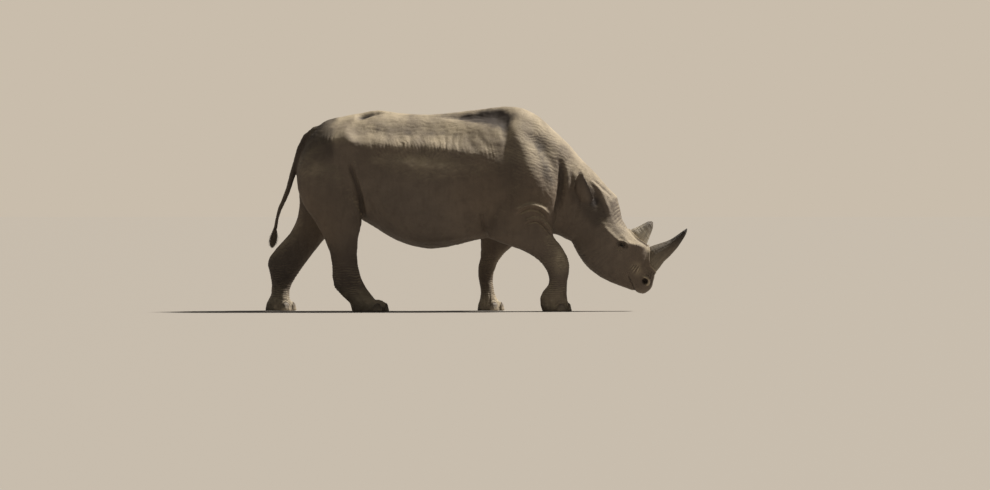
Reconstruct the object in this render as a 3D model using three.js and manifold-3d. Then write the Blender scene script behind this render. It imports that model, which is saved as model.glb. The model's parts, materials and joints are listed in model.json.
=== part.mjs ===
// A black rhinoceros at life size, walking with its head held low. Millimetres, +Z up.
// +X runs from the tail to the muzzle and +Y to the animal's left. The soles stand on Z = 0.
// The body and each leg are lofts through named stations, joined and then parted by thin cuts.
import * as THREE from "three";
import { mergeVertices } from "three/addons/utils/BufferGeometryUtils.js";
import Module from "manifold-3d";

const wasm = await Module();
wasm.setup();

// ---------------------------------------------------------------- driving dimensions

const GAP = 0.5; // clearance between neighbouring pieces
const BODY_RINGS = 125; // the rings of the body's loft lie no further apart than this
const BODY_SIDES = 22;
const LEG_RINGS = 120;
const LEG_SIDES = 12;

// The head has its own side-view frame: u runs down the face from the poll, v towards the horns.
const HEAD_ORIGIN = new THREE.Vector2(870, 790);
const HEAD_PITCH = THREE.MathUtils.degToRad(52);

const EYE = { u: 372, v: -16, y: 138, radius: 21 };
const BROW = { u: 356, v: 27, y: 112, radii: [72, 44, 33] };
const NOSTRIL_FLARE = { u: 688, v: -34, y: 62, radii: [38, 32, 33] };
const NOSTRIL_HOLE = { u: 692, v: -36, y: 96, radii: [19, 30, 15] };

// Each ear is a cup that opens along `facing`, given for the left ear. Its rings run from base
// to tip: a radius, and how far round from the back its wall reaches, in degrees.
const EAR = {
  base: { u: -30, v: -14, y: 122 },
  tip: { u: -234, v: 89, y: 232 },
  facing: new THREE.Vector3(0.94, -0.34, 0),
  depth: 1.2,
  rings: [[36, 150], [52, 134], [63, 118], [66, 110], [64, 104], [57, 99], [44, 95], [20, 90]],
  wall: 12,
  columns: 6,
};

// A foot's three toes spread about its middle one. The sizes are of the middle toe.
const TOE_SPREAD = THREE.MathUtils.degToRad(58);
const TOE = { radii: [78, 55, 88], side: 0.88, height: 6 };
const NAIL = { thickness: 8, radii: [46, 50, 82], rise: 2 };

// ---------------------------------------------------------------- stations

// A station is one cross-section. It spans the line from `low` to `high` in the side view, is
// `half` wide to each side, and is widest at the share `waist` of the way from low to high.
// `crown` and `keel` say how square the halves above and below are; 2 is an ellipse.
const station = (low, high, half, waist = 0.5, crown = 2.1, keel = 2.1) => ({
  lowX: low[0],
  lowZ: low[1],
  highX: high[0],
  highZ: high[1],
  half,
  waist,
  crown,
  keel,
});

// A point of the head's side-view frame in the side view of the whole animal.
function headPoint(u, v) {
  return [
    HEAD_ORIGIN.x + u * Math.cos(HEAD_PITCH) + v * Math.sin(HEAD_PITCH),
    HEAD_ORIGIN.y - u * Math.sin(HEAD_PITCH) + v * Math.cos(HEAD_PITCH),
  ];
}

const headStation = (u, low, high, ...form) => station(headPoint(u, low), headPoint(u, high), ...form);

const BODY = [
  station([-1326, 950], [-1326, 1050], 110, 0.5), // end of the rump
  station([-1304, 872], [-1302, 1150], 218, 0.5), // buttocks
  station([-1230, 812], [-1238, 1296], 262, 0.54), // tail root
  station([-1135, 765], [-1130, 1412], 278, 0.58, 1.95), // croup
  station([-1005, 725], [-1000, 1450], 292, 0.58, 1.8), // hips
  station([-870, 690], [-855, 1478], 304, 0.56, 1.7), // sacrum
  station([-735, 612], [-725, 1502], 322, 0.52, 1.62), // loin
  station([-570, 515], [-560, 1480], 346, 0.49, 1.6), // flank
  station([-345, 460], [-335, 1470], 366, 0.48, 1.6), // belly
  station([-140, 488], [-135, 1488], 356, 0.48, 1.6), // ribs
  station([55, 535], [50, 1512], 326, 0.48, 1.6), // girth
  station([230, 540], [225, 1534], 300, 0.48, 1.62), // withers
  station([365, 528], [360, 1515], 274, 0.48, 1.66), // front of the shoulder
  station([448, 540], [475, 1458], 246, 0.48, 1.7), // neck base
  station([510, 560], [590, 1352], 222, 0.5, 1.8),
  station([555, 572], [697, 1250], 196, 0.52, 1.75), // middle of the neck
  station([597, 574], [797, 1133], 180, 0.54, 1.85),
  station([636, 556], [895, 1033], 168, 0.56, 1.9), // nape
  station([672, 536], [985, 930], 160, 0.56, 1.85), // poll
  station([716, 520], [1059, 855], 158, 0.58, 1.8), // crest
  headStation(150, -294, 152, 162, 0.6, 1.75),
  headStation(224, -308, 114, 170, 0.64, 1.75, 2.2), // angle of the jaw
  headStation(298, -314, 106, 168, 0.66, 1.85, 2.2),
  headStation(372, -308, 122, 150, 0.67, 2.1, 2.2), // eyes
  headStation(458, -284, 144, 126, 0.64, 2.4, 2.2), // rear horn
  headStation(536, -248, 146, 108, 0.6, 2.3, 2.2),
  headStation(604, -206, 116, 98, 0.56, 2.3, 2.2), // front horn
  headStation(666, -168, 82, 94, 0.54, 2.3, 2.2), // nostrils
  headStation(712, -140, 46, 80, 0.5, 2.2, 2.1),
  headStation(744, -120, 2, 58, 0.5),
  headStation(764, -96, -38, 28, 0.5), // tip of the upper lip
];

// Each leg's stations run from inside the trunk to the sole. `y` is how far out its axis lies.
const legStation = (front, rear, y, half, square = 2.2) => ({
  ...station(rear, front, half, 0.5, square, square),
  y,
});

const SOLE = { hind: { y: 178, half: 92 }, fore: { y: 172, half: 96 } };

// Where the body is parted, as lines through the side view.
const NECK_CUT = [[668, 520], [588, 1470]];
const HEAD_CUT = [[640, 530], [878, 1060]];
const JAW_CUT = [headPoint(150, -150), headPoint(780, -108)];

// Where an upper leg is parted from the body. `slant` is a line through the front view of the
// left side, from low near the middle to high on the flank. The leg lies outside it, and on the
// left of each side line going from its first point to its second.
const HAUNCH = { slant: [[34, 640], [262, 1290]], sides: [[[-772, 600], [-938, 1300]]] };
const SHOULDER = { slant: [[30, 500], [232, 1400]], sides: [[[196, 1400], [-50, 470]], NECK_CUT] };

const LEGS = {
  hind_right: {
    side: -1,
    stations: [
      legStation([-960, 1300], [-1130, 1285], 112, 66), // under the hip
      legStation([-915, 1185], [-1240, 1170], 140, 112),
      legStation([-880, 1035], [-1316, 1045], 164, 142), // thigh
      legStation([-850, 885], [-1320, 905], 176, 142),
      legStation([-826, 745], [-1266, 775], 180, 126),
      legStation([-838, 640], [-1190, 665], 182, 104), // stifle
      legStation([-866, 530], [-1120, 545], 182, 86),
      legStation([-873, 420], [-1075, 430], 180, 76), // shank
      legStation([-862, 325], [-1062, 335], 178, 72),
      legStation([-838, 240], [-1062, 262], 178, 72), // hock
      legStation([-802, 170], [-1048, 180], 178, 74),
      legStation([-752, 105], [-990, 120], SOLE.hind.y, 82), // pastern
      legStation([-708, 50], [-930, 62], SOLE.hind.y, SOLE.hind.half),
      legStation([-682, 0], [-912, 0], SOLE.hind.y, SOLE.hind.half), // sole
    ],
    root: HAUNCH,
    cuts: [
      [[-1300, 560], [-700, 480]],
      [[-1200, 130], [-640, 190]],
    ],
    foot: { x: -778, reach: 58, y: SOLE.hind.y },
  },
  hind_left: {
    side: 1,
    stations: [
      legStation([-960, 1300], [-1130, 1285], 112, 66),
      legStation([-915, 1185], [-1240, 1170], 140, 112),
      legStation([-895, 1035], [-1316, 1045], 164, 142),
      legStation([-915, 875], [-1325, 915], 176, 142),
      legStation([-970, 728], [-1318, 782], 180, 124),
      legStation([-1050, 612], [-1348, 655], 182, 102),
      legStation([-1138, 520], [-1415, 548], 182, 86),
      legStation([-1214, 425], [-1488, 470], 180, 77),
      legStation([-1278, 338], [-1543, 400], 178, 73),
      legStation([-1322, 275], [-1556, 345], 178, 72), // hock
      legStation([-1362, 215], [-1538, 275], 178, 68),
      legStation([-1388, 155], [-1525, 195], 178, 68),
      legStation([-1388, 100], [-1530, 120], SOLE.hind.y, 78),
      legStation([-1370, 50], [-1562, 56], SOLE.hind.y, SOLE.hind.half),
      legStation([-1352, 0], [-1576, 0], SOLE.hind.y, SOLE.hind.half),
    ],
    root: HAUNCH,
    cuts: [
      [[-1500, 590], [-1030, 440]],
      [[-1700, 145], [-1200, 130]],
    ],
    foot: { x: -1464, reach: 44, y: SOLE.hind.y },
  },
  fore_right: {
    side: -1,
    stations: [
      legStation([372, 1400], [262, 1385], 76, 44), // top of the shoulder blade
      legStation([474, 1265], [216, 1255], 126, 88),
      legStation([588, 1090], [186, 1080], 158, 130), // shoulder
      legStation([632, 915], [165, 920], 172, 142),
      legStation([622, 775], [116, 775], 178, 134),
      legStation([598, 652], [70, 655], 180, 118), // upper arm
      legStation([580, 580], [92, 545], 180, 104),
      legStation([603, 536], [232, 492], 180, 90), // elbow
      legStation([634, 500], [342, 458], 180, 82),
      legStation([664, 455], [425, 412], 178, 76), // forearm
      legStation([693, 400], [490, 362], 176, 72),
      legStation([704, 342], [532, 302], 174, 70),
      legStation([700, 280], [549, 248], 172, 70), // wrist
      legStation([686, 218], [543, 196], SOLE.fore.y, 72),
      legStation([686, 160], [502, 150], SOLE.fore.y, 78),
      legStation([688, 100], [480, 96], SOLE.fore.y, 88),
      legStation([700, 45], [484, 44], SOLE.fore.y, SOLE.fore.half),
      legStation([704, 0], [500, 0], SOLE.fore.y, SOLE.fore.half),
    ],
    root: SHOULDER,
    cuts: [
      [[60, 430], [760, 590]],
      [[300, 135], [900, 150]],
    ],
    foot: { x: 594, reach: 42, y: SOLE.fore.y },
  },
  fore_left: {
    side: 1,
    stations: [
      legStation([372, 1400], [262, 1385], 76, 44),
      legStation([462, 1265], [200, 1255], 126, 88),
      legStation([558, 1090], [140, 1080], 158, 130),
      legStation([580, 915], [98, 920], 172, 142),
      legStation([548, 775], [58, 778], 178, 134),
      legStation([485, 652], [32, 660], 180, 116),
      legStation([392, 552], [34, 552], 180, 100),
      legStation([300, 496], [40, 462], 180, 86),
      legStation([226, 435], [38, 385], 178, 76),
      legStation([168, 358], [22, 328], 176, 70),
      legStation([142, 286], [20, 272], 174, 66), // wrist
      legStation([134, 226], [28, 218], 172, 64),
      legStation([142, 160], [40, 155], SOLE.fore.y, 70),
      legStation([160, 100], [36, 96], SOLE.fore.y, 84),
      legStation([184, 45], [20, 44], SOLE.fore.y, SOLE.fore.half),
      legStation([198, 0], [14, 0], SOLE.fore.y, SOLE.fore.half),
    ],
    root: SHOULDER,
    cuts: [
      [[-60, 430], [420, 450]],
      [[-200, 130], [400, 150]],
    ],
    foot: { x: 94, reach: 43, y: SOLE.fore.y },
  },
};

// The two keratin horns stand on the nose. Each station is [v, u, half length, half width].
const HORNS = {
  horn_front: [
    [66, 598, 90, 72],
    [118, 593, 84, 70],
    [162, 590, 74, 63],
    [222, 598, 60, 52],
    [298, 604, 41, 38],
    [372, 596, 27, 26],
    [424, 586, 15, 15],
    [452, 577, 5, 5],
  ],
  horn_rear: [
    [78, 410, 84, 66],
    [126, 408, 80, 63],
    [168, 403, 64, 54],
    [214, 394, 46, 42],
    [256, 384, 28, 27],
    [281, 378, 10, 10],
  ],
};
const HORN_SIDES = 12;

// The tail hangs close behind the rump: [x, z, radius] down its middle line.
const TAIL = [
  [-1120, 1352, 42],
  [-1190, 1338, 40],
  [-1252, 1290, 36],
  [-1300, 1205, 31],
  [-1326, 1125, 27],
  [-1350, 1050, 24],
  [-1372, 976, 22],
  [-1394, 901, 20],
  [-1424, 827, 18],
  [-1458, 752, 16],
  [-1478, 678, 15],
  [-1488, 612, 15],
];
const TAIL_TUFT = [
  [-1488, 611, 15, 14],
  [-1494, 580, 24, 17],
  [-1503, 540, 36, 20],
  [-1510, 500, 40, 18],
  [-1514, 470, 24, 10],
];
const TAIL_SIDES = 10;

// ---------------------------------------------------------------- solids

// Catmull-Rom through equally spaced values, one number at a time.
function spline(values, t) {
  const span = Math.min(Math.floor(t), values.length - 2);
  const f = t - span;
  const at = (i) => values[THREE.MathUtils.clamp(i, 0, values.length - 1)];
  const [a, b, c, d] = [-1, 0, 1, 2].map((k) => at(span + k));
  return b + 0.5 * f * (c - a + f * (2 * a - 5 * b + 4 * c - d + f * (3 * (b - c) + d - a)));
}

// The points of one cross-section, grown outwards by `grow`.
function section(s, sides, grow) {
  const low = new THREE.Vector3(s.lowX, s.y, s.lowZ);
  const high = new THREE.Vector3(s.highX, s.y, s.highZ);
  const up = high.clone().sub(low).normalize();
  low.addScaledVector(up, -grow);
  high.addScaledVector(up, grow);
  return Array.from({ length: sides }, (_, i) => {
    const angle = ((i + 0.5) / sides) * 2 * Math.PI;
    const c = Math.cos(angle);
    const power = 2 / (c > 0 ? s.crown : s.keel);
    const reach = Math.abs(c) ** power;
    const share = c > 0 ? s.waist + (1 - s.waist) * reach : s.waist * (1 - reach);
    const point = low.clone().lerp(high, share);
    const out = Math.sign(Math.sin(angle)) * Math.abs(Math.sin(angle)) ** power;
    point.y += out * (s.half + grow);
    return point;
  });
}

// A closed solid over a list of rings. Each ring is a mirror image of itself end for end, so
// quads between its first and last points, and so on inwards, close the two ends.
function skinRings(rings) {
  const n = rings[0].length;
  const positions = rings.flatMap((ring) => ring.flatMap((p) => p.toArray()));
  const faces = [];
  const quad = (a, b, c, d) => faces.push(a, b, c, a, c, d);
  for (let r = 0; r + 1 < rings.length; r++) {
    for (let i = 0; i < n; i++) {
      const j = (i + 1) % n;
      quad(r * n + i, r * n + j, (r + 1) * n + j, (r + 1) * n + i);
    }
  }
  const last = (rings.length - 1) * n;
  for (let i = 0; i + 1 < n / 2; i++) {
    quad(i, n - 1 - i, n - 2 - i, i + 1);
    quad(last + i, last + i + 1, last + n - 2 - i, last + n - 1 - i);
  }
  const made = new wasm.Manifold(
    new wasm.Mesh({
      numProp: 3,
      vertProperties: new Float32Array(positions),
      triVerts: new Uint32Array(faces),
    }),
  );
  if (made.volume() > 0) return made;
  for (let i = 0; i < faces.length; i += 3) [faces[i], faces[i + 1]] = [faces[i + 1], faces[i]];
  return new wasm.Manifold(
    new wasm.Mesh({
      numProp: 3,
      vertProperties: new Float32Array(positions),
      triVerts: new Uint32Array(faces),
    }),
  );
}

// How far apart the middles of two stations lie in the side view.
const spanLength = (a, b) =>
  Math.hypot(a.lowX + a.highX - b.lowX - b.highX, a.lowZ + a.highZ - b.lowZ - b.highZ) / 2;

// A smooth loft through stations, whose axis lies `side` times each station's y off the middle.
function loft(stations, { spacing, sides, side = 1, grow = 0 }) {
  const fields = Object.keys(stations[0]);
  const ring = (t) => {
    const s = { y: 0 };
    for (const field of fields) s[field] = spline(stations.map((one) => one[field]), t);
    s.y *= side;
    return section(s, sides, grow);
  };
  const rings = [ring(0)];
  for (let i = 0; i + 1 < stations.length; i++) {
    const steps = Math.ceil(spanLength(stations[i], stations[i + 1]) / spacing);
    for (let k = 1; k <= steps; k++) rings.push(ring(i + k / steps));
  }
  return skinRings(rings);
}

// A closed three.js geometry as a solid.
function fromGeometry(geometry) {
  geometry.deleteAttribute("normal");
  geometry.deleteAttribute("uv");
  const merged = mergeVertices(geometry, 1e-3);
  return new wasm.Manifold(
    new wasm.Mesh({
      numProp: 3,
      vertProperties: merged.attributes.position.array,
      triVerts: new Uint32Array(merged.index.array),
    }),
  );
}

function ellipsoid(centre, radii, { turn = new THREE.Euler(), segments = [10, 6] } = {}) {
  const matrix = new THREE.Matrix4().compose(
    centre,
    new THREE.Quaternion().setFromEuler(turn),
    new THREE.Vector3(...radii),
  );
  return fromGeometry(new THREE.SphereGeometry(1, ...segments).applyMatrix4(matrix));
}

// The part of a solid on the left of a line through the side view, `gap` clear of the line.
function leftOf(solid, [from, to], gap) {
  const along = new THREE.Vector2(to[0] - from[0], to[1] - from[1]).normalize();
  return solid.trimByPlane([-along.y, 0, along.x], along.x * from[1] - along.y * from[0] + gap);
}

// Both parts of a solid beside a thin cut: the one on the line's left, and the one on its right.
const cut = (solid, [from, to]) => [
  leftOf(solid, [from, to], GAP / 2),
  leftOf(solid, [to, from], GAP / 2),
];

const aboveFloor = (solid, height = 0) => solid.trimByPlane([0, 0, 1], height);

function headCentre({ u, v, y }, side) {
  const [x, z] = headPoint(u, v);
  return new THREE.Vector3(x, side * y, z);
}

const SIDES = { right: -1, left: 1 };
const SPACE = 6000; // a block larger than the animal
const HEAD_TURN = new THREE.Euler(0, HEAD_PITCH, 0);

// ---------------------------------------------------------------- the animal's pieces

function bodySolid(grow = 0) {
  const swell = (form, side) =>
    ellipsoid(headCentre(form, side), form.radii.map((r) => r + grow), { turn: HEAD_TURN });
  return wasm.Manifold.union([
    loft(BODY, { spacing: BODY_RINGS, sides: BODY_SIDES, grow }),
    ...Object.values(SIDES).flatMap((side) => [swell(BROW, side), swell(NOSTRIL_FLARE, side)]),
  ]);
}

const legSolid = ({ side, stations }, grow = 0) =>
  loft(stations, { spacing: LEG_RINGS, sides: LEG_SIDES, side, grow });

// The wedge of space that holds an upper leg, `gap` inside the planes that bound it.
function legWedge({ side, root }, gap) {
  const [[innerY, innerZ], [outerY, outerZ]] = root.slant;
  const along = new THREE.Vector2(outerY - innerY, outerZ - innerZ).normalize();
  const outward = [0, side * along.y, -along.x];
  const space = fromGeometry(new THREE.BoxGeometry(...Array(3).fill(SPACE)))
    .trimByPlane([0, side, 0], gap)
    .trimByPlane(outward, along.y * innerY - along.x * innerZ + gap);
  return root.sides.reduce((kept, line) => leftOf(kept, line, gap), space);
}

// The middle of each toe of a foot, with its direction and size.
function toes({ side, foot }) {
  return [-1, 0, 1].map((k) => {
    const turn = k * TOE_SPREAD;
    return {
      turn,
      radii: TOE.radii.map((r) => r * (k === 0 ? 1 : TOE.side)),
      centre: new THREE.Vector3(
        foot.x + foot.reach * Math.cos(turn),
        side * foot.y + foot.reach * Math.sin(turn),
        TOE.height,
      ),
    };
  });
}

const toeSolid = (toe, grow = 0) =>
  ellipsoid(toe.centre, toe.radii.map((r) => r + grow), {
    turn: new THREE.Euler(0, 0, toe.turn),
    segments: [12, 5],
  });

// A horny nail: a shell over the front of a toe, rounded where it meets the skin.
function nailSolid(toe, flesh) {
  const ahead = new THREE.Vector3(Math.cos(toe.turn), Math.sin(toe.turn), 0);
  const front = toe.centre.clone().addScaledVector(ahead, toe.radii[0]).setZ(0);
  const stamp = ellipsoid(front, NAIL.radii, {
    turn: new THREE.Euler(0, 0, toe.turn),
    segments: [8, 4],
  });
  const shell = toeSolid(toe, NAIL.thickness).intersect(stamp).subtract(flesh);
  return largest(aboveFloor(shell, NAIL.rise));
}

function largest(solid) {
  return solid.decompose().reduce((a, b) => (a.volume() > b.volume() ? a : b));
}

// An ear is a cup: each ring is a crescent, an outer arc and an inner one a wall apart.
function earSolid(side) {
  const base = headCentre(EAR.base, side);
  const axis = headCentre(EAR.tip, side).sub(base);
  const up = axis.clone().normalize();
  const ahead = EAR.facing.clone().multiply(new THREE.Vector3(1, side, 1));
  ahead.addScaledVector(up, -ahead.dot(up)).normalize();
  const across = new THREE.Vector3().crossVectors(up, ahead);
  const last = EAR.rings.length - 1;
  const rings = EAR.rings.map(([radius, degrees], k) => {
    const reach = THREE.MathUtils.degToRad(degrees);
    const wall = Math.min(EAR.wall, radius * 0.6);
    const centre = base.clone().addScaledVector(axis, k / last);
    const arc = (r, from, to) =>
      Array.from({ length: EAR.columns }, (_, i) => {
        const angle = Math.PI + from + ((to - from) * i) / (EAR.columns - 1);
        return centre
          .clone()
          .addScaledVector(ahead, r * EAR.depth * Math.cos(angle))
          .addScaledVector(across, r * Math.sin(angle));
      });
    return [...arc(radius, -reach, reach), ...arc(radius - wall, reach, -reach)];
  });
  return skinRings(rings);
}

function hornSolid(stations) {
  const rings = stations.map(([v, u, long, wide]) =>
    Array.from({ length: HORN_SIDES }, (_, i) => {
      const angle = ((i + 0.5) / HORN_SIDES) * 2 * Math.PI;
      const [x, z] = headPoint(u + long * Math.cos(angle), v);
      return new THREE.Vector3(x, wide * Math.sin(angle), z);
    }),
  );
  return skinRings(rings);
}

// Round rings square to a line through the side view; a fourth number is their half width.
function tube(points) {
  const line = new THREE.CatmullRomCurve3(points.map(([x, z]) => new THREE.Vector3(x, 0, z)));
  const rings = points.map(([, , radius, wide = radius], k) => {
    const t = k / (points.length - 1);
    const centre = line.getPoint(t);
    const ahead = line.getTangent(t);
    const normal = new THREE.Vector3(-ahead.z, 0, ahead.x);
    return Array.from({ length: TAIL_SIDES }, (_, i) => {
      const angle = ((i + 0.5) / TAIL_SIDES) * 2 * Math.PI;
      const point = centre.clone().addScaledVector(normal, radius * Math.cos(angle));
      point.y = wide * Math.sin(angle);
      return point;
    });
  });
  return skinRings(rings);
}

// ---------------------------------------------------------------- the scene graph

const finish = (color, roughness) => new THREE.MeshStandardMaterial({ color, roughness, metalness: 0 });
const SKIN = finish(0x6e6354, 0.85);
const HORN = finish(0x3c3630, 0.55);
const NAIL_HORN = finish(0x4a433c, 0.6);
const EYE_GLOSS = finish(0x120c08, 0.12);
const HAIR = finish(0x1a1613, 0.75);

const rhinoceros = new THREE.Group();
rhinoceros.name = "black_rhinoceros";

function place(name, solid, material) {
  const mesh = solid.getMesh();
  const geometry = new THREE.BufferGeometry();
  geometry.setAttribute("position", new THREE.BufferAttribute(mesh.vertProperties, 3));
  geometry.setIndex(new THREE.BufferAttribute(mesh.triVerts, 1));
  const piece = new THREE.Mesh(geometry, material);
  piece.name = name;
  rhinoceros.add(piece);
}

const legs = Object.entries(LEGS);
const upperLegs = (grow) => legs.map(([, leg]) => cut(legSolid(leg, grow), leg.cuts[0])[0]);
const fleshSolid = (grow = 0) => wasm.Manifold.union([bodySolid(grow), ...upperLegs(grow)]);

// The eyes sit in pockets, and the nostrils open into the muzzle.
let flesh = fleshSolid();
for (const [name, side] of Object.entries(SIDES)) {
  const centre = headCentre(EYE, side);
  const ball = (grow) => ellipsoid(centre, Array(3).fill(EYE.radius + grow));
  const nostril = ellipsoid(headCentre(NOSTRIL_HOLE, side), NOSTRIL_HOLE.radii, {
    turn: HEAD_TURN,
    segments: [8, 5],
  });
  flesh = flesh.subtract(ball(GAP)).subtract(nostril);
  place(`eye_${name}`, ball(0), EYE_GLOSS);
}

// The upper legs are parted from the body first, and then the neck, head and jaw.
let body = flesh;
for (const [name, leg] of legs) {
  place(`leg_${name}_upper`, largest(flesh.intersect(legWedge(leg, GAP / 2))), SKIN);
  body = body.subtract(legWedge(leg, -GAP / 2));
}
const [trunk, forward] = cut(body, NECK_CUT);
const [neck, face] = cut(forward, HEAD_CUT);
const [head, jaw] = cut(face, JAW_CUT);
place("trunk", largest(trunk), SKIN);
place("neck", largest(neck), SKIN);
place("head", largest(head), SKIN);
place("lower_jaw", largest(jaw), SKIN);

// Lower legs and feet, with three nails on each foot.
for (const [name, leg] of legs) {
  const shank = cut(legSolid(leg), leg.cuts[0])[1];
  const [lower, pad] = cut(shank, leg.cuts[1]);
  const footToes = toes(leg);
  const foot = wasm.Manifold.union([pad, ...footToes.map((toe) => toeSolid(toe))]);
  place(`leg_${name}_lower`, largest(lower), SKIN);
  place(`leg_${name}_foot`, largest(aboveFloor(foot)), SKIN);
  const covered = wasm.Manifold.union([
    legSolid(leg, GAP),
    ...footToes.map((toe) => toeSolid(toe, GAP)),
  ]);
  footToes.forEach((toe, k) => {
    const where = ["inner", "middle", "outer"][leg.side > 0 ? k : 2 - k];
    place(`nail_${name}_${where}`, nailSolid(toe, covered), NAIL_HORN);
  });
}

// Ears, horns and tail stand on the body, each cut back to its surface.
const grownBody = bodySolid(GAP);
for (const [name, side] of Object.entries(SIDES)) {
  place(`ear_${name}`, largest(earSolid(side).subtract(grownBody)), SKIN);
}
for (const [name, stations] of Object.entries(HORNS)) {
  place(name, largest(hornSolid(stations).subtract(grownBody)), HORN);
}
place("tail", largest(tube(TAIL).subtract(fleshSolid(GAP))), SKIN);
place("tail_tuft", tube(TAIL_TUFT), HAIR);

// The origin is the middle of the footprint, on the floor.
const extent = new THREE.Box3().setFromObject(rhinoceros);
const middle = extent.getCenter(new THREE.Vector3());
rhinoceros.position.set(-middle.x, -middle.y, -extent.min.z);

export default rhinoceros;
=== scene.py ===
import sys
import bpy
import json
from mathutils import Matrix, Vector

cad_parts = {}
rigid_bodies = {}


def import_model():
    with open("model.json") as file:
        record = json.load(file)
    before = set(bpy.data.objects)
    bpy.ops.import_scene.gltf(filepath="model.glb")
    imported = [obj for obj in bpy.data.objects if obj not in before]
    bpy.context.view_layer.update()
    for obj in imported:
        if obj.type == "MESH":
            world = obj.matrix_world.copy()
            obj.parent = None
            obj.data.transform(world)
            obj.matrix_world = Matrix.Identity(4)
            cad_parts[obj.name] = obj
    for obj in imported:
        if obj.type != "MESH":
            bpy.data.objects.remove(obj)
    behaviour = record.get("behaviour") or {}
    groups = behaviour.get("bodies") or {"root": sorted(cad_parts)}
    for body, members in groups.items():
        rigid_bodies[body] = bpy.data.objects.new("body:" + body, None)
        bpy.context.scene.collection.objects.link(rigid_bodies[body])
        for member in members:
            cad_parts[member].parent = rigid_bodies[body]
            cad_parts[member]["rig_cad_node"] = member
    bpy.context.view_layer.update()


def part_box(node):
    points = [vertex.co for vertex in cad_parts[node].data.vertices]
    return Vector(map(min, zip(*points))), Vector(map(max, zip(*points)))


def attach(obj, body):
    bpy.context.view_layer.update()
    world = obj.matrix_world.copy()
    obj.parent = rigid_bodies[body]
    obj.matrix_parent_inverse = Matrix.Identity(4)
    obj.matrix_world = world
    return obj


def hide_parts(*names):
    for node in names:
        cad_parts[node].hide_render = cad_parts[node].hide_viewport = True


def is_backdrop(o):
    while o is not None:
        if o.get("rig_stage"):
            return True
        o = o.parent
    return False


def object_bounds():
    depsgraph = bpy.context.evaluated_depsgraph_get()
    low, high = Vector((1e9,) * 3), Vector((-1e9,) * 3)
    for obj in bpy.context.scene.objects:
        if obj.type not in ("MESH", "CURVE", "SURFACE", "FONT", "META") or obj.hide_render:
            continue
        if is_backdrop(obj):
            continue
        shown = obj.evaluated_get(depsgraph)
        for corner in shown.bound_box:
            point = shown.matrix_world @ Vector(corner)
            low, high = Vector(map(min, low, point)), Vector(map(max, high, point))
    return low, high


"""A black rhinoceros at life size, walking with its head held low, dressed for a museum hall.

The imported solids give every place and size, in metres, with +X towards the muzzle, +Y to the
animal's left and +Z up. One hide is drawn over all the solids of flesh and then modelled like
clay: bones and muscles first, then folds, then wrinkles. Eyes, horns, nails and hair are pieces
of their own.
"""

import json
import logging
import math
from dataclasses import dataclass, field
from enum import Enum

import bmesh
import bpy
import numpy as np
from mathutils import Vector
from mathutils.bvhtree import BVHTree

BODY = "root"
EYES = ("eye_right", "eye_left")

log = logging.getLogger("rhinoceros")

Array = np.ndarray
Material = bpy.types.Material
Mesh = bpy.types.Mesh
Node = bpy.types.Node
Object = bpy.types.Object
Tree = bpy.types.NodeTree


class Side(Enum):
    """The two sides of the animal, by the sign of Y."""

    RIGHT = -1
    LEFT = 1

    @property
    def word(self) -> str:
        """The side's word in the names of solids and pieces."""
        return self.name.lower()


class Slot(Enum):
    """The record's material slots."""

    SKIN = "skin"
    HORN = "horn"
    NAIL = "nail"
    EYE = "eye"
    HAIR = "hair"


# -------- small sums


def unit(vector: Array) -> Array:
    """Returns a vector, or rows of vectors, at length one."""
    vector = np.asarray(vector, float)
    return vector / np.maximum(np.linalg.norm(vector, axis=-1, keepdims=True), 1e-12)


def ramp(value: Array, low: float, high: float) -> Array:
    """Returns a smooth rise from 0 at low to 1 at high.

    Args:
        value: Numbers to read.
        low: Where the rise begins.
        high: Where it ends; below low, the ramp falls instead.

    Returns:
        Numbers from 0 to 1.
    """
    t = np.clip((value - low) / (high - low), 0.0, 1.0)
    return t * t * (3.0 - 2.0 * t)


def bell(value: Array, middle: float, width: float) -> Array:
    """Returns a soft bump, 1 at its middle and about a third at its width from there."""
    return np.exp(-(((value - middle) / width) ** 2))


def colour(code: int) -> tuple[float, float, float, float]:
    """Turns a 0xRRGGBB paint code into linear light.

    Args:
        code: The paint code.

    Returns:
        Red, green, blue and opacity for a shader socket.
    """
    parts = [((code >> shift) & 255) / 255 for shift in (16, 8, 0)]
    linear = [c / 12.92 if c <= 0.04045 else ((c + 0.055) / 1.055) ** 2.4 for c in parts]
    return (*linear, 1.0)


def through(points: Array, count: int) -> Array:
    """Draws a smooth line through a few points.

    Args:
        points: Rows of coordinates, in order.
        count: How many points the line gets.

    Returns:
        Rows of coordinates along a Catmull-Rom curve.
    """
    points = np.asarray(points, float)
    padded = np.vstack([points[:1], points, points[-1:]])
    t = np.linspace(0, len(points) - 1, count)
    span = np.minimum(t.astype(int), len(points) - 2)
    f = (t - span)[:, None]
    a, b, c, d = (padded[span + k] for k in range(4))
    return b + 0.5 * f * (c - a + f * (2 * a - 5 * b + 4 * c - d + f * (3 * (b - c) + d - a)))


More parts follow.
